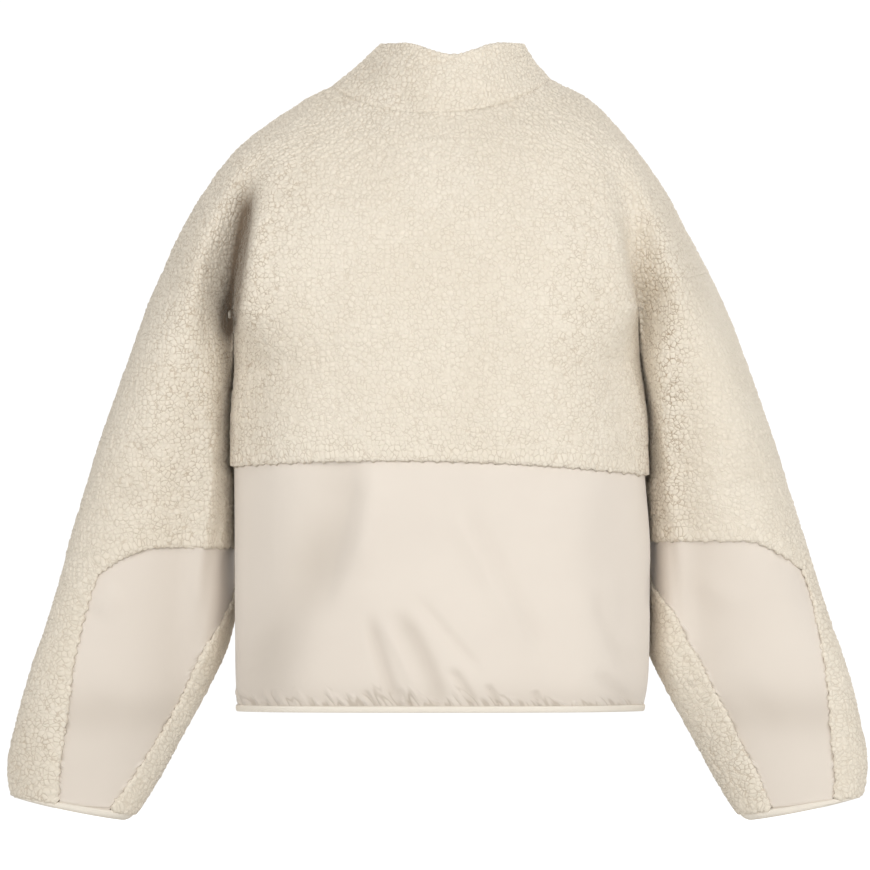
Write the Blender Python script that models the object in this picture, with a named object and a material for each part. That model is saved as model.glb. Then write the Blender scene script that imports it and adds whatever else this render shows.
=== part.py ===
"""Sherpa jacket, filled out and hollow, built from its cut.

Lengths in the tables are millimetres. The back faces -Y, the front and its zip face +Y, and the
origin is at the middle of the shoulders, level with the high points of the shoulder seams.
Left and right are the wearer's, so left is -X and right is +X.

The outer form is four sheets of points that share their edges: collar, yoke, body and two sleeves.
Every piece of cloth is cut from that form and given its own wall.
"""

import bpy
import numpy as np
from mathutils import Matrix

MM = 0.001

# Cloth: how far its outer face lies inside the form, and how thick it is
SHERPA = {"inset": 0.0, "wall": 6.0}
NYLON = {"inset": 4.0, "wall": 2.0}
BINDING = {"inset": 3.4, "wall": 2.6}
TAPE = {"inset": 4.6, "wall": 1.2}
CHAIN = {"inset": 3.0, "wall": 3.0}
BOX = {"inset": 1.8, "wall": 4.2}
SEAM_GAP = 0.3
SLEEVE_CLEARANCE = 1.0  # between the body and the sleeve that lies against it

CHAIN_HALF = 2.8  # half the zip chain's width
TAPE_HALF = 8.0  # from the centre front to the edge of each front
RISE = 2.7  # how late each row of the yoke climbs towards the shoulder ridge
FRONT_DEPTH = 0.9  # depth of the front as a share of the back's
BODY_POWER = 2.6  # squareness of the body's sections
SLEEVE_POWER = 2.15
BINDING_HEIGHT = 6.8


def table(columns, *rows):
    """A table as one array for each of its named columns."""
    return dict(zip(columns.split(), np.array(rows, float).T))


# Rows of the yoke, from the neck seam down to the armhole
YOKE = table(
    "ridge_x ridge_z lean tilt back_y back_z mid_x mid_y crest_x crest_y valley_x valley_y "
    "arm_x arm_y arm_lift drop",
    (104.5, 5, 3.5, 3.5, -78, -24, 38, -72.6, 70, -57.9, 80.5, -49.6, 96.5, -29.9, 0, 56),
    (142.5, -16, 6.0, 2, -101, -62, 50, -97, 98, -79.5, 112, -69.6, 132, -44, 0, 48),
    (186, -54, 0.0, 0, -120, -108, 62, -116, 150, -84, 163, -71, 178, -50, 0, 34),
    (218.5, -97, -2.0, 0, -132, -152, 75, -128, 166, -99, 180, -76, 203, -67, 1, 20),
    (242.5, -140, -3.0, 0, -138, -195, 80, -134, 178, -103, 188, -64, 219, -80, 4, 9),
    (260, -175, -1.5, 0, -140, -235, 82, -137, 187, -96, 193, -45, 228, -90, 7, 0),
)
UNDERARM = {"x": 192.0, "z": -236.0}

# Level sections of the body below the armhole; the third row is the seam between sherpa and nylon
BODY = table(
    "z half lean back_y front_y",
    (-262, 192.5, 0.5, -141, 126),
    (-310, 197.5, 1.8, -141, 126),
    (-356, 198.8, 2.4, -139, 125),
    (-430, 201.0, 5.0, -138, 124),
    (-500, 201.0, 5.0, -138, 124),
    (-560, 200.0, 4.5, -137, 123),
    (-592.5, 196.0, 3.0, -134, 121),
)
SEAM_ROW = 3
SEAM = {"z": -353.3, "tilt": 3.9, "bow": 9.0, "half": 200.0}

# Rings of a sleeve from the armhole to the lower edge of the cuff binding. Above the elbow the
# inner side lies against the body, wherever that is further out than in_x, tucked forward of its
# widest line by tuck. The right sleeve is fuller at the elbow by right_more.
SLEEVE = table(
    "out_x out_z in_x in_z mid_y half_depth tuck right_more",
    (260, -175, 190, -236, 2, 93, 0, 0),
    (276, -211, 186, -268, 2, 90, 22, 0),
    (292, -254, 186, -304, 3, 86, 40, 0),
    (307, -296, 186, -340, 4, 81, 48, 0),
    (322, -339, 186, -377, 5, 75, 50, 0),
    (335, -382, 186, -415, 7, 69, 48, 0),
    (348, -425, 186, -453, 9, 63, 45, 1),
    (359, -467, 190, -492, 11, 57, 40, 3),
    (372, -510, 200, -533, 13, 51, 32, 4),
    (387, -553, 218, -572, 15, 45, 21, 4),
    (399, -596, 240, -612, 17, 40, 11, 3),
    (409, -640, 263, -655, 19, 35, 4, 1),
    (406, -672, 286, -691, 20, 31, 0, 0),
    (401, -678, 297, -699, 20, 29, 0, 0),
)
CUFF_RING = 12
ARMHOLE_FADE = 2.0  # rings over which the armhole's own curve dies out down the sleeve

# Edges of the forearm panels, as shares of the way across the sleeve's back: -1 is its inner side,
# 1 its outer side
PANEL = table(
    "z in_left out_left in_right out_right",
    (-436, -1.0, 0.62, -1.0, 0.89),
    (-475, -1.0, 0.65, -0.96, 0.91),
    (-505, -0.92, 0.64, -0.72, 0.89),
    (-540, -0.80, 0.59, -0.57, 0.82),
    (-580, -0.80, 0.48, -0.53, 0.725),
    (-620, -0.775, 0.38, -0.51, 0.62),
    (-660, -0.70, 0.29, -0.48, 0.575),
    (-690, -0.60, 0.20, -0.50, 0.55),
)
# Upper edges of the panels: level, then falling round the outer corner
PANEL_TOP = {
    "left": {"z": -435.5, "corner": -0.1, "fall": 26.0},
    "right": {"z": -429.5, "corner": 0.25, "fall": 27.0},
}

# Rings of the collar from its upper edge to the neck seam
COLLAR = table(
    "half lean tilt back_y front_y back_z side_z front_z dip",
    (67.5, 14.5, 0, -62, 58, 44.0, 43.5, -10, 11.5),
    (76, 11.5, 1, -67, 61, 22.0, 33.0, -32, 4.0),
    (88, 8.0, 2, -73, 66, -2.0, 20.0, -57, 0.0),
    (104.5, 3.5, 3.5, -78, 70.2, -24.0, 5.0, -80, 0.0),
)
DIP_HALF = 48.0  # half the width of the dip in the collar's upper edge at the back

# Zip slider near the top of the collar, and its pull tab, hinged under the slider's bridge
SLIDER = {"below_edge": 9.0, "width": 8.4, "height": 12.0, "thick": 2.2, "sunk": 0.4,
          "bridge_width": 2.6, "bridge_reach": 4.2, "bridge_post": 1.6, "tunnel": 2.4, "bar": 1.2}
PULL = {"half": 3.2, "thick": 1.4, "slot_half": 1.8, "slot": 5.4, "hole_from": 15.0, "hole_to": 21.0,
        "length": 24.0}

# Column numbers of the lines that run down the form, from centre back round to centre front
MID, CREST, VALLEY, ARM, RIDGE, FRONT_ARM, FRONT_VALLEY, FRONT_CREST, FRONT_MID, FRONT = (
    4, 8, 10, 14, 19, 24, 28, 30, 34, 38)
SIDE, BODY_FRONT_VALLEY, BODY_FRONT_CREST, BODY_FRONT_MID, BODY_FRONT = 12, 14, 16, 20, 24
SLEEVE_VALLEY, SLEEVE_PANEL, SLEEVE_RIDGE, SLEEVE_FRONT_VALLEY, SLEEVE_ROUND = 2, 8, 11, 20, 22
VALLEY_ANGLE = 28.0  # degrees round the sleeve from its inner side to the armhole's valley

# Quads between the numbered lines, and down each sheet
YOKE_COUNTS = (4, 4, 2, 4, 5, 5, 4, 2, 4)
BODY_COUNTS = (4, 4, 2, 2, 2, 2, 4)
SLEEVE_COUNTS = (2, 6, 3, 9, 2)
FRONT_COUNT, TAPE_COUNT = 4, 1
COLLAR_ROWS = 3
YOKE_ROWS = 8
UPPER_BODY_ROWS = (1, 1, 1, 1)
LOWER_BODY_ROWS = 3
SLEEVE_ROWS = (1, 7)
FOREARM_ROWS = 7


def smooth(at, knots, values):
    """Values on a smooth curve through the knots, with slopes taken from both neighbours."""
    knots, values = np.asarray(knots, float), np.asarray(values, float)
    slopes = np.gradient(values, knots, axis=0)
    at = np.clip(at, knots[0], knots[-1])
    cell = np.clip(np.searchsorted(knots, at, side="right") - 1, 0, len(knots) - 2)
    step = knots[cell + 1] - knots[cell]
    t = (at - knots[cell]) / step
    if values.ndim > 1:
        step, t = step[:, None], t[:, None]
    start, end = values[cell], values[cell + 1]
    bend = slopes[cell] * step * t * (1 - t) ** 2 - slopes[cell + 1] * step * (1 - t) * t**2
    return start + (end - start) * t * t * (3 - 2 * t) + bend


def fade(t):
    """1 at 0, falling smoothly to 0 at 1."""
    t = np.clip(t, 0, 1)
    return 1 - t * t * (3 - 2 * t)


def unit(vectors):
    length = np.linalg.norm(vectors, axis=-1, keepdims=True)
    return vectors / np.where(length > 0, length, 1)


def power_curve(value, power):
    return np.sign(value) * np.abs(value) ** (2 / power)


def row_of(rows, level):
    """One row of a table, read smoothly at a level between its rows."""
    numbers = np.arange(len(next(iter(rows.values()))))
    return {name: float(smooth(level, numbers, values)) for name, values in rows.items()}


def steps(stations, counts):
    """Stations, with each stretch between two of them cut into its own number of equal steps."""
    parts = [np.linspace(a, b, n, endpoint=False) for a, b, n in zip(stations, stations[1:], counts)]
    return np.concatenate(parts + [np.array(stations[-1:], float)])


def closed(columns, knots, points):
    """A closed smooth line through points at numbered columns; knots ends one turn past its start."""
    turn = knots[-1] - knots[0]
    knots = np.concatenate([np.array(knots[-3:-1]) - turn, knots, np.array(knots[1:3]) + turn])
    points = np.concatenate([points[-2:], points, points[:3]])
    return smooth(np.asarray(columns, float), knots, points)


def both_sides(half, centre_x):
    """The points of a right half, then those of the left half back round to the start."""
    left = half[-2:0:-1] * (-1, 1, 1)
    whole = np.concatenate([half, left])
    whole[:, 0] += centre_x
    return whole


# ---------------------------------------------------------------- sections of the form

YOKE_KNOTS = [0, MID, CREST, VALLEY, ARM, RIDGE, FRONT_ARM, FRONT_VALLEY, FRONT_CREST, FRONT_MID, FRONT]
YOKE_KNOTS += [2 * FRONT - k for k in YOKE_KNOTS[-2::-1]]
BODY_KNOTS = [0, MID, CREST, VALLEY, SIDE, BODY_FRONT_VALLEY, BODY_FRONT_CREST, BODY_FRONT_MID, BODY_FRONT]
BODY_KNOTS += [2 * BODY_FRONT - k for k in BODY_KNOTS[-2::-1]]


def yoke_line(level, columns):
    """Points of the yoke's row at a level, 0 at the neck seam and 5 at the armhole."""
    row = row_of(YOKE, level)
    x = np.array([0] + [row[name + "_x"] for name in ("mid", "crest", "valley", "arm", "ridge")])
    y = np.array([row[name + "_y"] for name in ("back", "mid", "crest", "valley", "arm")] + [0])
    share = x / row["ridge_x"]
    z = row["back_z"] + (row["ridge_z"] - row["back_z"]) * share**RISE
    z[4] += row["arm_lift"]
    back = np.stack([x, y, z], axis=1)
    front = np.stack([x, -FRONT_DEPTH * y, z - row["drop"] * (1 - share**RISE)], axis=1)[-2::-1]
    points = both_sides(np.concatenate([back, front]), 0)
    points[:, 2] += row["tilt"] * points[:, 0] / row["ridge_x"]
    points[:, 0] += row["lean"]
    return closed(columns, YOKE_KNOTS, points)


def seam_z(x):
    share = x / SEAM["half"]
    return SEAM["z"] - SEAM["tilt"] * share - SEAM["bow"] * share**2


def underarm_line(columns, side, out):
    """The line between body and sleeve, from the back valley under the arm to the front valley.

    Body and sleeve lie face to face there, so each has its own line, moved out by half the seam's gap.
    """
    back, front = yoke_line(5, [VALLEY if side > 0 else 2 * FRONT - VALLEY,
                                FRONT_VALLEY if side > 0 else 2 * FRONT - FRONT_VALLEY])
    low = np.array([side * UNDERARM["x"] + YOKE["lean"][-1], 0.5 * (back[1] + front[1]), UNDERARM["z"]])
    across = np.linspace(-1, 1, 3)
    t = np.interp(columns, [VALLEY, BODY_FRONT_VALLEY], [-1, 1])
    line = smooth(t, across, np.array([back, low, front]))
    line[:, 2] = low[2] + (np.where(t < 0, back[2], front[2]) - low[2]) * t**2
    line[:, 0] += side * out * (np.abs(t) < 1)
    return line


def body_section(level, columns):
    """Points of the body at a level, 1 to 7 for the rows of its table."""
    row = row_of(BODY, level - 1)
    deep = np.array([1.0, 1.0, 0.70, 0.33, 0.0])
    wide = (1 - deep**BODY_POWER) ** (1 / BODY_POWER)
    wide[:2] = 0.0, 0.42
    deep[1] = (1 - wide[1] ** BODY_POWER) ** (1 / BODY_POWER)
    back = np.stack([row["half"] * wide, row["back_y"] * deep, 0 * deep], axis=1)
    front = np.stack([row["half"] * wide, row["front_y"] * deep, 0 * deep], axis=1)[-2::-1]
    line = closed(columns, BODY_KNOTS, both_sides(np.concatenate([back, front]), row["lean"]))
    near_seam = fade(abs(level - SEAM_ROW))
    line[:, 2] = row["z"] + near_seam * (seam_z(line[:, 0]) - BODY["z"][SEAM_ROW - 1])
    return line


def body_top(columns):
    """The body's first row: the yoke's last one, closed under each arm."""
    columns = np.asarray(columns, float)
    half_turn = np.where(columns <= BODY_FRONT, columns, 2 * BODY_FRONT - columns)
    on_yoke = np.where(half_turn <= VALLEY, half_turn, half_turn + FRONT - BODY_FRONT)
    on_yoke = np.where(columns <= BODY_FRONT, on_yoke, 2 * FRONT - on_yoke)
    line = yoke_line(5, on_yoke)
    for side, here in ((1, columns <= BODY_FRONT), (-1, columns > BODY_FRONT)):
        under = here & (half_turn > VALLEY) & (half_turn < BODY_FRONT_VALLEY)
        line[under] = underarm_line(half_turn[under], side, -0.5 * SEAM_GAP)
    return line


def body_line(level, columns):
    """Points of the body's row at a level, 0 at the armhole and 7 at the lower edge of the hem."""
    if level >= 1:
        return body_section(level, columns)
    own = body_section(1, columns)
    return own + (body_top(columns) - own) * (1 - level)


def body_side(z, deep, side):
    """How far out the body's cloth reaches at a height and at a depth before its middle."""
    knots = -np.concatenate([[UNDERARM["z"]], BODY["z"]])
    half = smooth(-z, knots, np.concatenate([[UNDERARM["x"]], BODY["half"]]))
    lean = smooth(-z, knots, np.concatenate([[YOKE["lean"][-1]], BODY["lean"]]))
    wide = (1 - (deep / BODY["front_y"][0]) ** BODY_POWER) ** (1 / BODY_POWER)
    nylon = 1 - fade((seam_z(side * half) - 2 - z) / 12)
    return half * wide + side * lean - NYLON["inset"] * nylon


SLEEVE_RINGS = np.arange(len(SLEEVE["out_x"]))


def sleeve_ring(rings, columns_share, side):
    """Points of a sleeve: rings along it, and shares of the way across with the half they lie on."""
    value = {name: smooth(rings, SLEEVE_RINGS, values) for name, values in SLEEVE.items()}
    contact = 0.6 * (value["mid_y"] + value["tuck"])
    against = body_side(value["in_z"], contact, side) + SLEEVE_CLEARANCE * (1 - fade(4 * rings))
    in_x = np.maximum(value["in_x"], against)
    out_x = value["out_x"] + value["right_more"] * (side > 0)
    angle = np.radians(columns_share)
    across = -power_curve(np.cos(angle), SLEEVE_POWER)
    x = 0.5 * (out_x + in_x) + 0.5 * (out_x - in_x) * across
    z = 0.5 * (value["out_z"] + value["in_z"]) + 0.5 * (value["out_z"] - value["in_z"]) * across
    y = value["mid_y"] - value["half_depth"] * power_curve(np.sin(angle), SLEEVE_POWER)
    y += value["tuck"] * (0.5 - 0.5 * across) ** 2
    return np.stack([side * x, y, z], axis=-1)


def angle_at(share):
    """The angle round a sleeve of a share of the way across its back."""
    return np.degrees(np.arccos(-power_curve(np.clip(share, -1, 1), 4 / SLEEVE_POWER)))


def armhole_line(columns, side):
    """The sleeve's first ring: the yoke's last row from valley to valley, closed under the arm."""
    columns = np.asarray(columns, float)
    on_yoke = np.clip(columns + VALLEY - SLEEVE_VALLEY, VALLEY, FRONT_VALLEY)
    line = yoke_line(5, on_yoke if side > 0 else 2 * FRONT - on_yoke)
    low = columns < SLEEVE_VALLEY
    line[low] = underarm_line(SIDE - columns[low], side, 0.5 * SEAM_GAP)
    high = columns > SLEEVE_FRONT_VALLEY
    line[high] = underarm_line(SIDE + SLEEVE_ROUND - columns[high], side, 0.5 * SEAM_GAP)
    return line


def sleeve_sheet(side, counts, upper_rows, lower_rows):
    """Rows of points down a sleeve: to the panel's upper edge, to the cuff seam, to the cuff's edge."""
    name = "left" if side < 0 else "right"
    top = PANEL_TOP[name]
    columns = steps([0, SLEEVE_VALLEY, SLEEVE_PANEL, SLEEVE_RIDGE, SLEEVE_FRONT_VALLEY, SLEEVE_ROUND],
                    counts)[:-1]
    plain = np.interp(columns, [0, SLEEVE_VALLEY, SLEEVE_RIDGE, SLEEVE_FRONT_VALLEY, SLEEVE_ROUND],
                      [0, VALLEY_ANGLE, 180, 360 - VALLEY_ANGLE, 360])

    def panelled(heights):
        inner = angle_at(smooth(-heights, -PANEL["z"], PANEL["in_" + name]))
        outer = angle_at(smooth(-heights, -PANEL["z"], PANEL["out_" + name]))
        ridge = np.maximum(180.0, outer + 12)
        within = inner + (outer - inner) * columns / SLEEVE_PANEL
        beyond = outer + (ridge - outer) * (columns - SLEEVE_PANEL) / (SLEEVE_RIDGE - SLEEVE_PANEL)
        around = ridge + (360 + inner - ridge) * (columns - SLEEVE_RIDGE) / (SLEEVE_ROUND - SLEEVE_RIDGE)
        return np.where(columns <= SLEEVE_PANEL, within, np.where(columns <= SLEEVE_RIDGE, beyond, around))

    # the row along the panel's upper edge, falling round its outer corner
    edge_angle = panelled(np.full(len(columns), top["z"]))
    across = -power_curve(np.cos(np.radians(edge_angle)), SLEEVE_POWER)
    corner = PANEL["out_" + name][0]
    reach = np.clip((across - top["corner"]) / (corner - top["corner"]), 0, 1)
    edge_z = top["z"] - top["fall"] * reach**2
    middle = 0.5 * (SLEEVE["out_z"] + SLEEVE["in_z"])
    tilt = 0.5 * (SLEEVE["out_z"] - SLEEVE["in_z"])
    edge_ring = np.array([np.interp(-z, -(middle + tilt * a), SLEEVE_RINGS) for z, a in zip(edge_z, across)])
    past = columns > SLEEVE_PANEL
    last = edge_ring[np.argmin(abs(columns - SLEEVE_PANEL))]
    edge_ring[past] = np.interp(columns[past], [SLEEVE_PANEL, SLEEVE_ROUND], [last, edge_ring[0]])

    armhole = armhole_line(columns, side)
    start = sleeve_ring(np.zeros(len(columns)), plain, side)
    rows = []
    for share in upper_rows:
        rings = edge_ring * share
        turn = 1 - fade(share)
        points = sleeve_ring(rings, plain + (edge_angle - plain) * turn, side)
        rows.append(points + (armhole - start) * fade(rings / ARMHOLE_FADE)[:, None])
    for share in lower_rows:
        rings = edge_ring + (CUFF_RING - edge_ring) * share
        heights = np.interp(rings, SLEEVE_RINGS, middle) + np.interp(rings, SLEEVE_RINGS, tilt) * across
        angles = panelled(heights) + (edge_angle - panelled(edge_z)) * fade(share * 5)
        rows.append(sleeve_ring(rings, angles, side))
    rows.append(sleeve_ring(np.full(len(columns), CUFF_RING + 1.0), angles, side))
    return np.array(rows)


def collar_line(level, columns):
    """Points of the collar at a level, 0 at its upper edge and 3 at the neck seam."""
    row = row_of(COLLAR, level)
    columns = np.asarray(columns, float)
    if level >= 3:
        return yoke_line(0, columns)
    seam = yoke_line(0, columns) - (YOKE["lean"][0], 0, 0)
    turn = np.arctan2(seam[:, 0] / row["half"] * COLLAR["half"][0] / YOKE["ridge_x"][0],
                      -seam[:, 1] / np.where(seam[:, 1] < 0, -row["back_y"], row["front_y"])
                      * COLLAR["half"][0] / YOKE["ridge_x"][0])
    sin, cos = np.sin(turn), np.cos(turn)
    x = row["half"] * sin
    y = np.where(cos > 0, row["back_y"], -row["front_y"]) * cos
    end_z = np.where(cos > 0, row["back_z"], row["front_z"])
    z = row["side_z"] + (end_z - row["side_z"]) * np.abs(cos) ** np.where(cos > 0, 2.0, 1.6)
    z -= row["dip"] * fade(np.abs(x) / DIP_HALF) * (cos > 0)
    z += row["tilt"] * sin
    return np.stack([x + row["lean"], y, z], axis=1)


# ---------------------------------------------------------------- the sheets of points

def round_columns(line, level, centre, stations, counts):
    """Columns once round a row, with lines beside the zip's chain and at the fronts' edges."""
    near = np.linspace(centre - 2, centre + 2, 41)
    out = -line(level, near)[:, 0]
    middle = np.interp(centre, near, out)
    right = [np.interp(middle - width, out, near) for width in (TAPE_HALF, CHAIN_HALF)]
    left = [np.interp(middle + width, out, near) for width in (CHAIN_HALF, TAPE_HALF)]
    stations, counts = list(stations), list(counts)
    mirrored = [2 * centre - s for s in stations[::-1]]
    return np.concatenate([
        steps(stations + right, counts + [FRONT_COUNT, TAPE_COUNT]),
        steps(left + mirrored, [TAPE_COUNT, FRONT_COUNT] + counts[::-1])[:-1]])


def sheet_of(line, levels, centre, stations, counts):
    rows = [(level, round_columns(line, level, centre, stations, counts)) for level in levels]
    return np.array([line(level, columns) for level, columns in rows])


def body_levels():
    """Levels down the body; the last but one is the upper edge of the hem binding."""
    binding = 7 - BINDING_HEIGHT / (BODY["z"][5] - BODY["z"][6])
    upper = steps([0, 0.25, 1, 2, SEAM_ROW], UPPER_BODY_ROWS)
    return np.concatenate([upper[:-1], steps([SEAM_ROW, binding, 7], [LOWER_BODY_ROWS, 1])])


def form():
    """The sheets of points, from the collar down to the hem and the cuffs."""
    neck, waist = (FRONT, YOKE_KNOTS[:10], YOKE_COUNTS), (BODY_FRONT, BODY_KNOTS[:8], BODY_COUNTS)
    sheets = {
        "collar": sheet_of(collar_line, steps([0, 3], [COLLAR_ROWS]), *neck),
        "yoke": sheet_of(yoke_line, steps([0, 5], [YOKE_ROWS]), *neck),
        "body": sheet_of(body_line, body_levels(), *waist),
    }
    upper, lower = steps([0, 0.03, 1], SLEEVE_ROWS), steps([0, 1], [FOREARM_ROWS])[1:]
    for side, name in ((-1, "sleeve_left"), (1, "sleeve_right")):
        sheets[name] = sleeve_sheet(side, SLEEVE_COUNTS, upper, lower)
    return sheets


# ---------------------------------------------------------------- cloth cut from the sheets

def joined(sheets):
    """Every point once, its outward normal, and each sheet's quads as numbers of those points."""
    every = np.concatenate([sheet.reshape(-1, 3) for sheet in sheets.values()])
    _, first, number = np.unique(np.round(every, 3), axis=0, return_index=True, return_inverse=True)
    points, number = every[first], number.reshape(-1)
    quads, used = {}, 0
    for name, sheet in sheets.items():
        grid = number[used:used + sheet.shape[0] * sheet.shape[1]].reshape(sheet.shape[:2])
        used += grid.size
        turned = np.roll(grid, -1, axis=1)
        corners = [grid[:-1], grid[1:], turned[1:], turned[:-1]]
        if name == "sleeve_left":
            corners = corners[::-1]
        quads[name] = np.stack(corners, axis=-1)
    # a sleeve counts twice, because it meets both the yoke and the body in the armhole's valleys
    normals = np.zeros_like(points)
    for name, sheet in quads.items():
        own = np.zeros_like(points)
        for corners in sheet.reshape(-1, 4):
            a, b, c, d = points[corners]
            own[corners] += np.cross(c - a, d - b)
        normals += unit(own) * (2 if "sleeve" in name else 1)
    return points, unit(normals), quads


def boundary(corners):
    """The edges that only one quad uses, each running with the cloth on its left."""
    edges = np.concatenate([corners[:, [k, (k + 1) % 4]] for k in range(4)])
    present = {tuple(edge) for edge in edges.tolist()}
    return [edge for edge in present if edge[::-1] not in present]


def drawn_in(points, normals, edges):
    """How far each point on a piece's edge is drawn in, so that seams keep their gap."""
    into = {}
    for a, b in edges:
        along = points[b] - points[a]
        for corner in (a, b):
            left = np.cross(normals[corner], along)
            into.setdefault(corner, []).append(left / np.linalg.norm(left))
    moved = np.zeros_like(points)
    for corner, sides in into.items():
        total = np.sum(sides, axis=0)
        moved[corner] = 0.5 * SEAM_GAP * total / (1 + sides[0] @ sides[-1])
    return moved


def add_object(name, vertices, faces, material, smooth_under=35):
    mesh = bpy.data.meshes.new(name)
    mesh.from_pydata([tuple(v) for v in np.asarray(vertices) * MM], [], faces)
    mesh.update()
    mesh.shade_smooth()
    mesh.set_sharp_from_angle(angle=np.radians(smooth_under))
    mesh.materials.append(material)
    thing = bpy.data.objects.new(name, mesh)
    bpy.context.scene.collection.objects.link(thing)
    return thing


def cloth(name, regions, kind, material):
    """A wall of cloth on some of the form's quads."""
    used, corners = np.unique(np.concatenate([r.reshape(-1, 4) for r in regions]), return_inverse=True)
    corners = corners.reshape(-1, 4)
    points, normals = POINTS[used], NORMALS[used]
    edges = boundary(corners)
    into = drawn_in(points, normals, edges)
    outer = points + into - kind["inset"] * normals
    inner = outer - kind["wall"] * normals
    count = len(points)
    # both faces of the wall are split along the same diagonals, so that it stays equally thick
    faces = []
    for a, b, c, d in corners.tolist():
        if np.linalg.norm(points[a] - points[c]) > np.linalg.norm(points[b] - points[d]):
            a, b, c, d = b, c, d, a
        faces += [(a, b, c), (a, c, d)]
    faces += [tuple(count + k for k in face[::-1]) for face in faces]
    for a, b in edges:
        # of its two diagonals, a twisted edge is split along the one further from the neighbour
        if (outer[a] + inner[b] - outer[b] - inner[a]) @ (into[a] + into[b]) > 0:
            faces += [(a, a + count, b + count), (a, b + count, b)]
        else:
            faces += [(a, a + count, b), (b, a + count, b + count)]
    return add_object(name, np.concatenate([outer, inner]), faces, material)


def material_of(name, colour, roughness, metallic=0.0):
    material = bpy.data.materials.new(name)
    material.use_nodes = True
    shader = material.node_tree.nodes["Principled BSDF"]
    shader.inputs["Base Color"].default_value = (*colour, 1.0)
    shader.inputs["Roughness"].default_value = roughness
    shader.inputs["Metallic"].default_value = metallic
    return material


def cut_cloth(quads):
    """Every piece of cloth, and the zip's chain and box, cut from the form."""
    collar, yoke, body = quads["collar"], quads["yoke"], quads["body"]
    # columns of quads: right shoulder ridge, edges of the zip, left shoulder ridge
    ridge = sum(YOKE_COUNTS[:5])
    tape = sum(YOKE_COUNTS) + FRONT_COUNT
    turn = yoke.shape[1]
    side = sum(BODY_COUNTS[:4])
    body_tape = sum(BODY_COUNTS) + FRONT_COUNT
    body_turn = body.shape[1]
    left_ridge, left_side = turn - ridge, body_turn - side
    chain, left_tape, left_front = tape + 1, tape + 2, tape + 3
    body_chain, body_left_tape, body_left_front = body_tape + 1, body_tape + 2, body_tape + 3
    seam = sum(UPPER_BODY_ROWS)
    hem = body.shape[0] - 1

    sherpa = material_of("sherpa", (0.80, 0.73, 0.62), 0.95)
    nylon = material_of("nylon", (0.76, 0.70, 0.61), 0.55)
    binding = material_of("binding", (0.86, 0.80, 0.70), 0.7)
    tape_cloth = material_of("zip tape", (0.74, 0.68, 0.58), 0.8)
    chain_plastic = material_of("zip plastic", (0.72, 0.66, 0.56), 0.45)

    around_back = [slice(0, ridge), slice(left_ridge, turn)]
    around_body = [slice(0, side), slice(left_side, body_turn)]

    cloth("back", [yoke[:, s] for s in around_back] + [body[:seam, s] for s in around_body], SHERPA, sherpa)
    cloth("back_lower", [body[seam:hem, s] for s in around_body], NYLON, nylon)
    cloth("front_right", [yoke[:, ridge:tape], body[:seam, side:body_tape]], SHERPA, sherpa)
    cloth("front_left", [yoke[:, left_front:left_ridge], body[:seam, body_left_front:left_side]],
          SHERPA, sherpa)
    cloth("front_lower_right", [body[seam:hem, side:body_tape]], NYLON, nylon)
    cloth("front_lower_left", [body[seam:hem, body_left_front:left_side]], NYLON, nylon)
    cloth("collar", [collar[:, :tape], collar[:, left_front:]], SHERPA, sherpa)
    cloth("hem_binding", [body[hem:, :body_tape], body[hem:, body_left_front:]], BINDING, binding)

    for name in ("left", "right"):
        sleeve = quads["sleeve_" + name]
        panel = sum(SLEEVE_COUNTS[:2])
        edge = sum(SLEEVE_ROWS)
        cuff = sleeve.shape[0] - 1
        cloth("sleeve_" + name, [sleeve[:edge], sleeve[edge:cuff, panel:]], SHERPA, sherpa)
        cloth("forearm_panel_" + name, [sleeve[edge:cuff, :panel]], NYLON, nylon)
        cloth("cuff_binding_" + name, [sleeve[cuff:]], BINDING, binding)

    tapes = {"zip_tape_right": (tape, chain, body_tape, body_chain),
             "zip_tape_left": (left_tape, left_front, body_left_tape, body_left_front)}
    for name, (first, last, body_first, body_last) in tapes.items():
        cloth(name, [collar[:, first:last], yoke[:, first:last], body[:, body_first:body_last]],
              TAPE, tape_cloth)
    cloth("zip_chain", [collar[:, chain:left_tape], yoke[:, chain:left_tape],
                        body[:hem, body_chain:body_left_tape]], CHAIN, chain_plastic)
    cloth("zip_box", [body[hem:, body_chain:body_left_tape]], BOX, chain_plastic)


# ---------------------------------------------------------------- slider and pull tab

def slab(x_cuts, z_cuts, holes, y_from, y_to):
    """A flat plate cut into cells at x_cuts and z_cuts, with some of its cells left open."""
    across, down = len(x_cuts) - 1, len(z_cuts) - 1
    vertices = [(x, y, z) for y in (y_from, y_to) for z in z_cuts for x in x_cuts]

    def point(layer, row, column):
        return (layer * (down + 1) + row) * (across + 1) + column

    solid_cells = {(r, c) for r in range(down) for c in range(across)} - set(holes)
    faces = []
    for r, c in sorted(solid_cells):
        ring = [(r, c), (r, c + 1), (r + 1, c + 1), (r + 1, c)]
        faces.append(tuple(point(1, *corner) for corner in ring))
        faces.append(tuple(point(0, *corner) for corner in ring[::-1]))
        beyond = [(r - 1, c), (r, c + 1), (r + 1, c), (r, c - 1)]
        for k, neighbour in enumerate(beyond):
            if neighbour not in solid_cells:
                a, b = ring[k], ring[(k + 1) % 4]
                faces.append((point(1, *a), point(0, *a), point(0, *b), point(1, *b)))
    return vertices, faces


def rounded(thing, width):
    bevel = thing.modifiers.new("rounded edges", "BEVEL")
    bevel.width = width * MM
    bevel.segments = 1
    bevel.limit_method = "ANGLE"
    bevel.angle_limit = np.radians(50)


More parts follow.
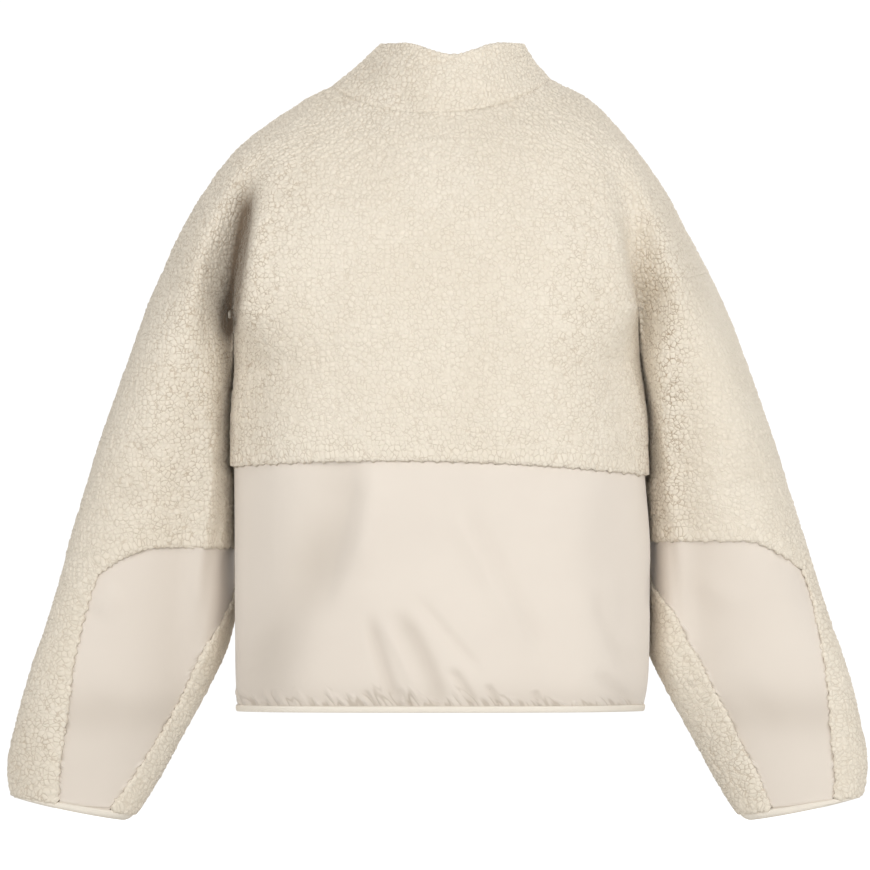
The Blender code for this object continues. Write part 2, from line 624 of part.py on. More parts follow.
def slider_place():
    """Where the slider sits on the chain near the collar's upper edge, and how far it leans back."""
    top, low = (collar_line(level, [FRONT])[0] for level in (0.0, 1.0))
    up = (top - low) / np.linalg.norm(top - low)
    lean = np.arctan2(-up[1], up[2])
    outward = np.array([0.0, np.cos(lean), np.sin(lean)])
    seat = top - SLIDER["below_edge"] * up + (SEAM_GAP - CHAIN["inset"]) * outward
    seat[0] = np.interp(SLIDER["below_edge"], [0, np.linalg.norm(top - low)], [top[0], low[0]])
    return seat, lean, outward


def zip_hardware():
    """The slider, closed at the top of the zip, and its pull tab hanging from the bridge."""
    metal = material_of("zip metal", (0.70, 0.66, 0.58), 0.35, 0.6)
    seat, lean, outward = slider_place()
    turned = Matrix.Rotation(lean, 4, "X")
    s = SLIDER
    half, tall = s["width"] / 2, s["height"] / 2
    plate = slab([-half, half], [tall, -tall], [], 0, s["thick"])
    slider = add_object("zip_slider", *plate, metal)
    reach, post = s["bridge_reach"], s["bridge_post"]
    top = s["thick"] + s["tunnel"]
    legs = [(reach, s["thick"] - s["sunk"]), (reach, top + s["bar"]), (-reach, top + s["bar"]),
            (-reach, s["thick"] - s["sunk"]), (post - reach, s["thick"] - s["sunk"]),
            (post - reach, top), (reach - post, top), (reach - post, s["thick"] - s["sunk"])]
    bridge_half = s["bridge_width"] / 2
    vertices = [(x, y, z) for x in (-bridge_half, bridge_half) for z, y in legs]
    count = len(legs)
    faces = [tuple(range(count)), tuple(range(2 * count - 1, count - 1, -1))]
    faces += [(k, k + count, (k + 1) % count + count, (k + 1) % count) for k in range(count)]
    bridge = add_object("zip_slider_bridge", vertices, faces, metal)
    bridge.hide_render = True
    bridge.display_type = "WIRE"
    union = slider.modifiers.new("bridge", "BOOLEAN")
    union.operation = "UNION"
    union.object = bridge
    rounded(slider, 0.3)
    for thing in (slider, bridge):
        thing.matrix_world = Matrix.Translation(seat * MM) @ turned

    p = PULL
    bar = p["thick"] / 2
    plate = slab([-p["half"], -p["slot_half"], p["slot_half"], p["half"]],
                 [bar, -bar, -p["slot"], -p["hole_from"], -p["hole_to"], -p["length"]],
                 [(1, 1), (3, 1)], -bar, bar)
    tab = add_object("pull_tab", *plate, metal)
    rounded(tab, 0.3)
    hinge = seat + (s["thick"] + s["tunnel"] / 2) * outward
    tab.matrix_world = Matrix.Translation(hinge * MM) @ turned
    print("pull tab hinge at", np.round(hinge * MM, 6).tolist(), "lean", round(float(lean), 6))


# ---------------------------------------------------------------- the jacket

for thing in list(bpy.data.objects):
    bpy.data.objects.remove(thing)
SHEETS = form()
POINTS, NORMALS, QUADS = joined(SHEETS)
cut_cloth(QUADS)
zip_hardware()
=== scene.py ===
"""Sherpa jacket, filled out and hollow: fleece, nylon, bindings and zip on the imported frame.

Lengths in the tables are millimetres. The back faces -Y, the front and its zip face +Y, and left
and right are the wearer's, so left is -X.
"""

import bpy
import numpy as np
from mathutils import Matrix, Vector, kdtree


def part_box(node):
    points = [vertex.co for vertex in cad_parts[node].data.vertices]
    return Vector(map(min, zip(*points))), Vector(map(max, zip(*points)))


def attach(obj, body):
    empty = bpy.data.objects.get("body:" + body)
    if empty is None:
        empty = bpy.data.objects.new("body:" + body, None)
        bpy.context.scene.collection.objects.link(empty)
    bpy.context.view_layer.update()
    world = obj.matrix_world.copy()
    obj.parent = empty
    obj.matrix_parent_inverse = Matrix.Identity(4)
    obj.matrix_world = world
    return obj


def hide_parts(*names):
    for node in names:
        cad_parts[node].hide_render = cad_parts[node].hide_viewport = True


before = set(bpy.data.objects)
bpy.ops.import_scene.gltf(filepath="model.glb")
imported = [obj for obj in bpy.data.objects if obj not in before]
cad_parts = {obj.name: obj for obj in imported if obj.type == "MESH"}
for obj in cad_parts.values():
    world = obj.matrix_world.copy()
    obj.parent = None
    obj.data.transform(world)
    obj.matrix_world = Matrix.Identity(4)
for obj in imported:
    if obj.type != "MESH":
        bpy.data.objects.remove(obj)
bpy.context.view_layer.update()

MM = 0.001

# Cloth: how far its outer face lies inside the form, and how thick it is
SHERPA = {"inset": 0.0, "wall": 6.0}
NYLON = {"inset": 4.0, "wall": 2.0}
BINDING = {"inset": 3.4, "wall": 2.6}
TAPE = {"inset": 4.6, "wall": 1.2}
CORD = {"inset": 6.0, "wall": 1.0}  # the two tapes' corded edges, under the zip's teeth
SEAM_GAP = 0.3
SLEEVE_CLEARANCE = -0.8  # between the body and the sleeve that lies against it

CHAIN_HALF = 2.8  # half the zip chain's width
TAPE_HALF = 8.0  # from the centre front to the edge of each front
RISE = 2.7  # how late each row of the yoke climbs towards the shoulder ridge
FRONT_DEPTH = 0.9  # depth of the front as a share of the back's
BODY_POWER = 2.6  # squareness of the body's sections
SLEEVE_POWER = 2.15
BINDING_HEIGHT = 6.8
BINDING_CROWN = 1.3
UNDERLAP = {"tape": 1.8, "nylon": 0.9}  # how far these reach under what is sewn over them


def table(columns, rows):
    """A table, a line for each row, as one array for each of its named columns."""
    values = np.array([row.split() for row in rows.split("\n")[1:-1]], float)
    return dict(zip(columns.split(), values.T))


# Rows of the yoke, from the neck seam down to the armhole
YOKE = table("ridge_x ridge_z lean tilt back_y back_z mid_x mid_y crest_x crest_y valley_x "
             "valley_y arm_x arm_y arm_lift drop", """
    104.5 5 3.5 3.5 -78 -24 38 -72.6 70 -57.9 80.5 -49.6 96.5 -29.9 0 56
    142.5 -16 6 2 -101 -62 50 -97 98 -79.5 112 -69.6 132 -44 0 48
    186 -54 0 0 -120 -108 62 -116 150 -84 163 -71 178 -50 0 34
    218.5 -97 -2 0 -132 -152 75 -128 166 -99 180 -76 203 -67 1 20
    242.5 -140 -3 0 -138 -195 80 -134 178 -103 188 -64 219 -80 4 9
    260 -175 -1.5 0 -140 -235 82 -137 187 -96 193 -45 228 -90 7 0
""")
UNDERARM = {"x": 192.0, "z": -236.0}

# Level sections of the body below the armhole; the third row is the seam between sherpa and nylon
BODY = table("z half lean back_y front_y", """
    -262 192.5 0.5 -141 126
    -310 197.5 1.8 -141 126
    -356 198.8 2.4 -139 125
    -430 201 5 -138 124
    -500 201 5 -138 124
    -560 200 4.5 -137 123
    -592.5 196 3 -134 121
""")
SEAM_ROW = 3
SEAM = {"z": -353.3, "tilt": 3.9, "bow": 9.0, "half": 200.0}

# Rings of a sleeve from the armhole to the lower edge of the cuff binding
SLEEVE = table("out_x out_z in_x in_z mid_y half_depth tuck right_more", """
    260 -175 190 -236 2 93 0 0
    276 -211 186 -268 2 90 22 0
    292 -254 186 -304 3 86 40 0
    307 -296 186 -340 4 81 48 0
    322 -339 186 -377 5 75 50 0
    335 -382 186 -415 7 69 48 0
    348 -425 186 -453 9 63 45 1
    359 -467 190 -492 11 57 40 3
    372 -510 200 -533 13 51 32 4
    387 -553 218 -572 15 45 21 4
    399 -596 240 -612 17 40 11 3
    409 -640 263 -655 19 35 4 1
    406 -672 286 -691 20 31 0 0
    401 -678 297 -699 20 29 0 0
""")
CUFF_RING = 12
ARMHOLE_FADE = 2.0  # rings over which the armhole's own curve dies out down the sleeve

# Edges of the forearm panels, as shares of the way across the sleeve's back
PANEL = table("z in_left out_left in_right out_right", """
    -436 -1 0.62 -1 0.89
    -475 -1 0.65 -0.96 0.91
    -505 -0.92 0.64 -0.72 0.89
    -540 -0.8 0.59 -0.57 0.82
    -580 -0.8 0.48 -0.53 0.725
    -620 -0.775 0.38 -0.51 0.62
    -660 -0.7 0.29 -0.48 0.575
    -690 -0.6 0.2 -0.5 0.55
""")
PANEL_TOP = {
    "left": {"z": -435.5, "corner": -0.1, "fall": 26.0},
    "right": {"z": -429.5, "corner": 0.25, "fall": 27.0},
}

# Rings of the collar from its upper edge to the neck seam
COLLAR = table("half lean tilt back_y front_y back_z side_z front_z dip", """
    67.5 14.5 0 -62 58 44 43.5 -10 11.5
    76 11.5 1 -67 61 22 33 -32 4
    88 8 2 -73 66 -2 20 -57 0
    104.5 3.5 3.5 -78 70.2 -24 5 -80 0
""")
DIP_HALF = 48.0

# Columns of the tables of folds and of patches
FOLD = "side x0 z0 x1 z1 bow outer inner rise shade ends"
PATCH = "x z half_wide half_high amount"

# Soft folds of the form: each runs in an arc from one point to another on the back (side -1) or
# the front (side 1), with its half widths on the outer and the inner side of the body, and how far
# it stands out (or, below zero, lies in) and how much painted shade darkens the cloth's colour in
# it
FOLDS = table(FOLD, """
    -1 -172 -78 -197 -246 1 13 6 -10 0.6 0.26
    -1 -176 -100 -196 -244 1 8 4 -4 0.6 0.3
    -1 -174 -84 -195 -236 1 13 5 0 0.3 0.2
    -1 -193 -190 -202 -250 0 10 5 0 0.5 0.4
    -1 -160 -84 -187 -246 2 6 11 3.5 0 0.3
    -1 -195 -222 -202 -340 0 9 2 0 0.5 0.14
    -1 -198 -310 -203 -512 0 6 2 0 0.42 0.18
    -1 -198 -225 -208 -560 2 24 20 11 0 0.15
    -1 174 -84 199 -244 -2 13 10 3 0.02 0.35
    -1 196 -140 214 -260 0 16 12 5 0 0.4
    -1 160 -90 184 -240 -4 8 12 2.5 0 0.4
    -1 200 -225 210 -560 2 24 20 11 0.02 0.15
    1 -160 -70 -194 -240 3 13 8 -6 0.3 0.3
    1 158 -80 196 -240 -3 14 10 -6 0.3 0.35
    -1 -40 8 -6 -20 6 10 8 -2.2 0.06 0.35
    -1 -72 2 -58 36 3 9 7 -2 0.08 0.4
    1 60 -20 40 -70 6 14 12 -2.5 0.05 0.4
    -1 -296 -330 -262 -352 4 12 12 -2.5 0.05 0.4
    -1 -318 -384 -270 -398 -4 12 12 -2 0.05 0.4
    -1 318 -366 268 -392 4 12 12 -2 0.03 0.4
    1 -300 -350 -262 -372 5 12 12 -2.5 0.05 0.4
    1 312 -352 266 -380 5 12 12 -2.5 0.05 0.4
""")
# The same for the nylon alone
NYLON_FOLDS = table(FOLD, """
    -1 -79 -326 -120 -516 -5 34 14 -6 0.17 0.34
    -1 -92 -396 -180 -612 6 28 22 -5 0.17 0.32
    -1 -60 -356 -80 -466 -3 12 14 3 0 0.3
    -1 20 -385 112 -548 0 9 9 -2.6 0.05 0.25
    -1 4 -385 90 -546 -4 14 12 2.4 0 0.3
    -1 150 -468 192 -556 6 9 9 -2.2 0.07 0.3
    -1 -67 -494 -34 -598 1 7 6.5 -3.8 0.18 0.26
    -1 -44 -490 8 -598 -7 9 8 -4.2 0.26 0.28
    -1 -54 -500 -14 -588 -2 6 6 1.8 0 0.3
    -1 -28 -474 48 -562 0 6 6 -2.2 0.05 0.3
    -1 10 -548 37 -592 -3 4.5 4.5 -3 0.18 0.25
    -1 45 -564 60 -592 -2 3.6 3.6 -2.6 0.16 0.25
    -1 92 -570 99 -592 -1 3.4 3.4 -2.2 0.14 0.25
    -1 -72 -570 -54 -590 -1 3.4 3.4 -2.4 0.14 0.25
    -1 -39 -569 -23 -591 -1 3.4 3.4 -2.4 0.14 0.25
    -1 -150 -500 -186 -584 6 10 10 -2 0.05 0.35
    -1 148 -552 192 -588 -3 6 7 -2.6 0.1 0.3
    -1 176 -372 158 -480 8 22 20 -3 0.03 0.35
    -1 120 -380 96 -440 4 16 20 2 0 0.4
    1 60 -365 84 -462 -6 18 16 -3.6 0.05 0.3
    1 84 -470 142 -520 6 14 14 -3.2 0.05 0.3
    1 -40 -396 -66 -470 4 14 16 -3 0.04 0.35
    1 -70 -500 -56 -584 10 9 9 -2.8 0.05 0.3
    1 110 -500 128 -584 8 9 9 -2.6 0.05 0.3
    -1 -207 -436 -214 -512 3 5 6 -3 0.3 0.3
    -1 -306 -440 -222 -432 -5 9 9 -2 0.04 0.3
    -1 -330 -500 -300 -470 5 14 14 2 0 0.4
    -1 -352 -560 -290 -600 6 16 16 -1.8 0.02 0.4
    -1 232 -448 300 -500 5 16 14 2 0 0.4
    -1 262 -560 330 -620 -6 16 16 -1.8 0.02 0.4
    -1 214 -446 210 -500 3 6 6 -2.4 0.12 0.35
""")
# Painted shade on the pile: the left cuff and the left of the collar, turned from the light, a
# speck under the left arm, and across the left sleeve
SHERPA_PAINTED_SHADE = table(PATCH, """
    -392 -640 26 90 0.1
    -40 22 22 26 0.05
    -198 -218 7 12 0.9
    -290 -330 90 120 0.02
""")
# Where the lining lies deeper, under the sharp valley at the left armhole, in mm
LINING_DEEP = table(PATCH, """
    -194 -190 26 50 11
    -198 -236 26 40 11
""")
# Painted shade on the nylon: the left third, turned from the light, the lower edge, the panels'
# lower ends
NYLON_PAINTED_SHADE = table(PATCH, """
    -180 -470 75 150 0.08
    -170 -560 60 50 0.08
    0 -594 900 22 0.26
    300 -660 110 60 0.08
    -330 -650 110 60 0.1
""")

# How strongly painted shade darkens the pile's crevices: soft patches on the back and the front
CREVICE_SHADE = table(PATCH, """
    -245 -270 45 150 0.28
    -260 -420 60 120 0.16
    -172 -240 18 140 0.18
    136 -210 26 110 0.26
    186 -240 16 150 -0.24
    280 -270 50 160 -0.26
    216 -320 26 150 0.35
    -205 -150 55 120 0.3
    212 -330 26 150 0.6
    205 -190 30 70 0.4
    -180 -300 40 120 0.3
    -60 10 60 55 0.25
    -20 -350 190 26 0.16
    290 -640 60 60 0.3
    -375 -620 45 90 0.3
    -150 -90 40 50 0.25
""")
CREVICE_SHADE_BASE = 0.30
# The sleeves' inner edges: how far out they are low and high, how far they come back and where
PRESSED = {"left": (212, 204), "right": (214, 207), "outer": 22, "inner": 14, "rise": 24,
           "upper_left": (-260, -345), "upper_right": (-180, -270), "until": -540, "end": -620}

# Column numbers of the lines that run down the form, from centre back round to centre front. The
# yoke has the middle, crest and valley of the back, the arm, the shoulder ridge, and the same in
# front; the body has its side in place of the arm and the ridge.
YOKE_KNOTS = [0, 4, 8, 10, 14, 19, 24, 28, 30, 34, 38]
BODY_KNOTS = [0, 4, 8, 10, 12, 14, 16, 20, 24]
VALLEY, FRONT_VALLEY, FRONT = 10, 28, 38
SIDE, BODY_FRONT_VALLEY, BODY_FRONT = 12, 14, 24
YOKE_KNOTS += [2 * FRONT - k for k in YOKE_KNOTS[-2::-1]]
BODY_KNOTS += [2 * BODY_FRONT - k for k in BODY_KNOTS[-2::-1]]
SLEEVE_VALLEY, SLEEVE_PANEL, SLEEVE_RIDGE, SLEEVE_FRONT_VALLEY, SLEEVE_ROUND = 2, 8, 11, 20, 22
VALLEY_ANGLE = 28.0
SLEEVES = ("sleeve_left", "sleeve_right")

# Cells between the numbered lines and down each sheet. The lining side of each wall has one quad
# in a cell, the face side FINE by FINE of them.
FINE = 4
YOKE_CELLS = (10, 14, 6, 12, 15, 15, 12, 6, 14)
BODY_CELLS = (10, 14, 6, 6, 6, 6, 14)
SLEEVE_CELLS = (6, 18, 9, 27, 6)
FRONT_CELLS, TAPE_CELLS, CHAIN_CELLS = 9, 1, 1
COLLAR_ROWS = 9
YOKE_ROWS = 35
UPPER_BODY_ROWS = 15
LOWER_BODY_ROWS = 25
BINDING_ROWS = 2
SLEEVE_ROWS = 33
FOREARM_ROWS = 30


# ---- curves

def smooth(at, knots, values):
    """Values on a smooth curve through the knots, with slopes taken from both neighbours."""
    knots, values = np.asarray(knots, float), np.asarray(values, float)
    slopes = np.gradient(values, knots, axis=0)
    at = np.clip(at, knots[0], knots[-1])
    cell = np.clip(np.searchsorted(knots, at, side="right") - 1, 0, len(knots) - 2)
    step = knots[cell + 1] - knots[cell]
    t = (at - knots[cell]) / step
    if values.ndim > 1:
        step, t = step[:, None], t[:, None]
    start, end = values[cell], values[cell + 1]
    bend = slopes[cell] * step * t * (1 - t) ** 2 - slopes[cell + 1] * step * (1 - t) * t**2
    return start + (end - start) * t * t * (3 - 2 * t) + bend


def fade(t):
    """1 at 0, falling smoothly to 0 at 1."""
    t = np.clip(t, 0, 1)
    return 1 - t * t * (3 - 2 * t)


def unit(vectors):
    length = np.linalg.norm(vectors, axis=-1, keepdims=True)
    return vectors / np.where(length > 0, length, 1)


def power_curve(value, power):
    return np.sign(value) * np.abs(value) ** (2 / power)


def row_of(rows, level):
    """One row of a table, read smoothly at a level between its rows."""
    numbers = np.arange(len(next(iter(rows.values()))))
    return {name: float(smooth(level, numbers, values)) for name, values in rows.items()}


def steps(stations, counts):
    """Stations, with each stretch between two of them cut into its own number of equal steps."""
    parts = [np.linspace(*ends, count, endpoint=False)
             for *ends, count in zip(stations, stations[1:], counts)]
    return np.concatenate(parts + [np.array(stations[-1:], float)])


def closed(columns, knots, points):
    """A closed smooth line through points at its knots, which end one turn past their start."""
    turn = knots[-1] - knots[0]
    knots = np.concatenate([np.array(knots[-3:-1]) - turn, knots, np.array(knots[1:3]) + turn])
    points = np.concatenate([points[-2:], points, points[:3]])
    return smooth(np.asarray(columns, float), knots, points)


def both_sides(half, centre_x):
    """The points of a right half, then those of the left half back round to the start."""
    left = half[-2:0:-1] * (-1, 1, 1)
    whole = np.concatenate([half, left])
    whole[:, 0] += centre_x
    return whole


# ---- sections of the form

def yoke_line(level, columns):
    """Points of the yoke's row at a level, 0 at the neck seam and 5 at the armhole."""
    row = row_of(YOKE, level)
    x = np.array([0] + [row[name + "_x"] for name in ("mid", "crest", "valley", "arm", "ridge")])
    y = np.array([row[name + "_y"] for name in ("back", "mid", "crest", "valley", "arm")] + [0])
    share = x / row["ridge_x"]
    z = row["back_z"] + (row["ridge_z"] - row["back_z"]) * share**RISE
    z[4] += row["arm_lift"]
    back = np.stack([x, y, z], axis=1)
    front = np.stack([x, -FRONT_DEPTH * y, z - row["drop"] * (1 - share**RISE)], axis=1)[-2::-1]
    points = both_sides(np.concatenate([back, front]), 0)
    points[:, 2] += row["tilt"] * points[:, 0] / row["ridge_x"]
    points[:, 0] += row["lean"]
    return closed(columns, YOKE_KNOTS, points)


def seam_z(x):
    share = x / SEAM["half"]
    return SEAM["z"] - SEAM["tilt"] * share - SEAM["bow"] * share**2


def underarm_line(columns, side, out):
    """The line between body and sleeve, from the back valley under the arm to the front valley. The
    two lie face to face there, so each has its own line, moved out by half the seam's gap."""
    back, front = yoke_line(5, [VALLEY if side > 0 else 2 * FRONT - VALLEY,
                                FRONT_VALLEY if side > 0 else 2 * FRONT - FRONT_VALLEY])
    low = side * UNDERARM["x"] + YOKE["lean"][-1], 0.5 * (back[1] + front[1]), UNDERARM["z"]
    t = np.interp(columns, [VALLEY, BODY_FRONT_VALLEY], [-1, 1])
    line = smooth(t, [-1, 0, 1], np.array([back, low, front]))
    line[:, 2] = low[2] + (np.where(t < 0, back[2], front[2]) - low[2]) * t**2
    line[:, 0] += side * out * (np.abs(t) < 1)
    return line


def body_section(level, columns):
    """Points of the body at a level, 1 to 7 for the rows of its table."""
    row = row_of(BODY, level - 1)
    deep = np.array([1.0, 1.0, 0.70, 0.33, 0.0])
    wide = (1 - deep**BODY_POWER) ** (1 / BODY_POWER)
    wide[:2] = 0.0, 0.42
    deep[1] = (1 - wide[1] ** BODY_POWER) ** (1 / BODY_POWER)
    back = np.stack([row["half"] * wide, row["back_y"] * deep, 0 * deep], axis=1)
    front = np.stack([row["half"] * wide, row["front_y"] * deep, 0 * deep], axis=1)[-2::-1]
    line = closed(columns, BODY_KNOTS, both_sides(np.concatenate([back, front]), row["lean"]))
    near_seam = fade(abs(level - SEAM_ROW))
    line[:, 2] = row["z"] + near_seam * (seam_z(line[:, 0]) - BODY["z"][SEAM_ROW - 1])
    return line


def body_top(columns):
    """The body's first row: the yoke's last one, closed under each arm."""
    columns = np.asarray(columns, float)
    half_turn = np.where(columns <= BODY_FRONT, columns, 2 * BODY_FRONT - columns)
    on_yoke = np.where(half_turn <= VALLEY, half_turn, half_turn + FRONT - BODY_FRONT)
    on_yoke = np.where(columns <= BODY_FRONT, on_yoke, 2 * FRONT - on_yoke)
    line = yoke_line(5, on_yoke)
    for side, here in ((1, columns <= BODY_FRONT), (-1, columns > BODY_FRONT)):
        under = here & (half_turn > VALLEY) & (half_turn < BODY_FRONT_VALLEY)
        line[under] = underarm_line(half_turn[under], side, -0.5 * SEAM_GAP)
    return line


def body_line(level, columns):
    """Points of the body's row at a level, 0 at the armhole and 7 at the lower edge of the hem."""
    if level >= 1:
        return body_section(level, columns)
    own = body_section(1, columns)
    return own + (body_top(columns) - own) * (1 - level)


def body_side(z, deep, side):
    """How far out the body's cloth reaches at a height and at a depth before its middle."""
    knots = -np.concatenate([[UNDERARM["z"]], BODY["z"]])
    half = smooth(-z, knots, np.concatenate([[UNDERARM["x"]], BODY["half"]]))
    lean = smooth(-z, knots, np.concatenate([[YOKE["lean"][-1]], BODY["lean"]]))
    wide = (1 - (deep / BODY["front_y"][0]) ** BODY_POWER) ** (1 / BODY_POWER)
    nylon = 1 - fade((seam_z(side * half) - 2 - z) / 12)
    return half * wide + side * lean - NYLON["inset"] * nylon


SLEEVE_RINGS = np.arange(len(SLEEVE["out_x"]))


def sleeve_ring(rings, angles, side):
    """Points of a sleeve: rings along it, and angles round it from its inner side over its back."""
    value = {name: smooth(rings, SLEEVE_RINGS, values) for name, values in SLEEVE.items()}
    contact = 0.6 * (value["mid_y"] + value["tuck"])
    against = body_side(value["in_z"], contact, side) + SLEEVE_CLEARANCE * (1 - fade(4 * rings))
    in_x = np.maximum(value["in_x"], against)
    out_x = value["out_x"] + value["right_more"] * (side > 0)
    angle = np.radians(angles)
    across = -power_curve(np.cos(angle), SLEEVE_POWER)
    x = 0.5 * (out_x + in_x) + 0.5 * (out_x - in_x) * across
    z = 0.5 * (value["out_z"] + value["in_z"]) + 0.5 * (value["out_z"] - value["in_z"]) * across
    y = value["mid_y"] - value["half_depth"] * power_curve(np.sin(angle), SLEEVE_POWER)
    y += value["tuck"] * (0.5 - 0.5 * across) ** 2
    return np.stack([side * x, y, z], axis=-1)


def angle_at(share):
    """The angle round a sleeve of a share of the way across its back."""
    return np.degrees(np.arccos(-power_curve(np.clip(share, -1, 1), 4 / SLEEVE_POWER)))


def armhole_line(columns, side):
    """The sleeve's first ring: the yoke's last row from valley to valley, closed under the arm."""
    columns = np.asarray(columns, float)
    on_yoke = np.clip(columns + VALLEY - SLEEVE_VALLEY, VALLEY, FRONT_VALLEY)
    line = yoke_line(5, on_yoke if side > 0 else 2 * FRONT - on_yoke)
    low = columns < SLEEVE_VALLEY
    line[low] = underarm_line(SIDE - columns[low], side, 0.5 * SEAM_GAP)
    high = columns > SLEEVE_FRONT_VALLEY
    line[high] = underarm_line(SIDE + SLEEVE_ROUND - columns[high], side, 0.5 * SEAM_GAP)
    return line


def sleeve_sheet(side, counts, upper_rows, lower_rows, cuff_rows):
    """Rows of points down a sleeve: to the panel's top, to the cuff's seam, to the cuff's edge."""
    name = "left" if side < 0 else "right"
    top = PANEL_TOP[name]
    knots = [0, SLEEVE_VALLEY, SLEEVE_PANEL, SLEEVE_RIDGE, SLEEVE_FRONT_VALLEY, SLEEVE_ROUND]
    columns = steps(knots, counts)[:-1]
    plain = np.interp(columns, knots[:2] + knots[3:],
                      [0, VALLEY_ANGLE, 180, 360 - VALLEY_ANGLE, 360])

    def panelled(heights):
        inner, outer = (angle_at(smooth(-heights, -PANEL["z"], PANEL[edge + name]))
                        for edge in ("in_", "out_"))
        ridge = np.maximum(180.0, outer + 12)
        ends = ((0, inner), (SLEEVE_PANEL, outer), (SLEEVE_RIDGE, ridge),
                (SLEEVE_ROUND, 360 + inner))
        within, beyond, around = (first + (last - first) * (columns - start) / (end - start)
                                  for (start, first), (end, last) in zip(ends, ends[1:]))
        return np.where(columns <= SLEEVE_PANEL, within,
                        np.where(columns <= SLEEVE_RIDGE, beyond, around))

    # the row along the panel's upper edge, falling round its outer corner
    edge_angle = panelled(np.full(len(columns), top["z"]))
    across = -power_curve(np.cos(np.radians(edge_angle)), SLEEVE_POWER)
    corner = PANEL["out_" + name][0]
    reach = np.clip((across - top["corner"]) / (corner - top["corner"]), 0, 1)
    edge_z = top["z"] - top["fall"] * reach**2
    middle = 0.5 * (SLEEVE["out_z"] + SLEEVE["in_z"])
    tilt = 0.5 * (SLEEVE["out_z"] - SLEEVE["in_z"])
    edge_ring = np.array([np.interp(-z, -(middle + tilt * a), SLEEVE_RINGS)
                          for z, a in zip(edge_z, across)])
    past = columns > SLEEVE_PANEL
    last = edge_ring[np.argmin(abs(columns - SLEEVE_PANEL))]
    edge_ring[past] = np.interp(columns[past], [SLEEVE_PANEL, SLEEVE_ROUND], [last, edge_ring[0]])

    armhole = armhole_line(columns, side)
    start = sleeve_ring(np.zeros(len(columns)), plain, side)
    rows = []
    for share in upper_rows:
        rings = edge_ring * share
        turn = 1 - fade(share)
        points = sleeve_ring(rings, plain + (edge_angle - plain) * turn, side)
        rows.append(points + (armhole - start) * fade(rings / ARMHOLE_FADE)[:, None])
    for share in lower_rows:
        rings = edge_ring + (CUFF_RING - edge_ring) * share
        heights = np.interp(rings, SLEEVE_RINGS, middle)
        heights += np.interp(rings, SLEEVE_RINGS, tilt) * across
        angles = panelled(heights) + (edge_angle - panelled(edge_z)) * fade(share * 5)
        rows.append(sleeve_ring(rings, angles, side))
    for share in cuff_rows:
        rows.append(sleeve_ring(np.full(len(columns), CUFF_RING + share), angles, side))
    return np.array(rows)


def collar_line(level, columns):
    """Points of the collar at a level, 0 at its upper edge and 3 at the neck seam."""
    row = row_of(COLLAR, level)
    columns = np.asarray(columns, float)
    if level >= 3:
        return yoke_line(0, columns)
    seam = yoke_line(0, columns) - (YOKE["lean"][0], 0, 0)
    turn = np.arctan2(seam[:, 0] / row["half"] * COLLAR["half"][0] / YOKE["ridge_x"][0],
                      -seam[:, 1] / np.where(seam[:, 1] < 0, -row["back_y"], row["front_y"])
                      * COLLAR["half"][0] / YOKE["ridge_x"][0])
    sin, cos = np.sin(turn), np.cos(turn)
    x = row["half"] * sin
    y = np.where(cos > 0, row["back_y"], -row["front_y"]) * cos
    end_z = np.where(cos > 0, row["back_z"], row["front_z"])
    z = row["side_z"] + (end_z - row["side_z"]) * np.abs(cos) ** np.where(cos > 0, 2.0, 1.6)
    z -= row["dip"] * fade(np.abs(x) / DIP_HALF) * (cos > 0)
    z += row["tilt"] * sin
    return np.stack([x + row["lean"], y, z], axis=1)


# ---- the sheets of points

def round_columns(line, level, centre, stations, counts):
    """Columns once round a row, with lines beside the zip's chain and at the fronts' edges."""
    near = np.linspace(centre - 2, centre + 2, 41)
    out = -line(level, near)[:, 0]
    middle = np.interp(centre, near, out)
    zip_lines = [np.interp(middle + width, out, near)
                 for width in (-TAPE_HALF, -CHAIN_HALF, CHAIN_HALF, TAPE_HALF)]
    zip_cells = [FRONT_CELLS, TAPE_CELLS, CHAIN_CELLS, TAPE_CELLS, FRONT_CELLS]
    stations, counts = list(stations), list(counts)
    mirrored = [2 * centre - s for s in stations[::-1]]
    cells = counts + zip_cells + counts[::-1]
    return steps(stations + zip_lines + mirrored, [FINE * n for n in cells])[:-1]


def sheet_of(line, levels, centre, stations, counts):
    rows = [(level, round_columns(line, level, centre, stations, counts)) for level in levels]
    return np.array([line(level, columns) for level, columns in rows])


def rows_between(stations, *counts):
    return steps(stations, [FINE * n for n in counts])


def form():
    """The sheets of points, from the collar down to the hem and the cuffs."""
    neck, waist = (FRONT, YOKE_KNOTS[:10], YOKE_CELLS), (BODY_FRONT, BODY_KNOTS[:8], BODY_CELLS)
    binding = 7 - BINDING_HEIGHT / (BODY["z"][5] - BODY["z"][6])
    levels = rows_between([0, SEAM_ROW, binding, 7], UPPER_BODY_ROWS, LOWER_BODY_ROWS, BINDING_ROWS)
    sheets = {
        "collar": sheet_of(collar_line, rows_between([0, 3], COLLAR_ROWS), *neck),
        "yoke": sheet_of(yoke_line, rows_between([0, 5], YOKE_ROWS), *neck),
        "body": sheet_of(body_line, levels, *waist),
    }
    rows = [rows_between([0, 1], SLEEVE_ROWS), rows_between([0, 1], FOREARM_ROWS)[1:],
            rows_between([0, 1], BINDING_ROWS)[1:]]
    for side, name in zip((-1, 1), SLEEVES):
        sheets[name] = sleeve_sheet(side, [FINE * n for n in SLEEVE_CELLS], *rows)
    return sheets


def quads_of(grid, mirrored):
    """The quads of a grid of point numbers, seen from outside."""
    corners = np.stack([grid[:-1, :-1], grid[1:, :-1], grid[1:, 1:], grid[:-1, 1:]], axis=-1)
    return corners.reshape(-1, 4)[:, ::-1] if mirrored else corners.reshape(-1, 4)


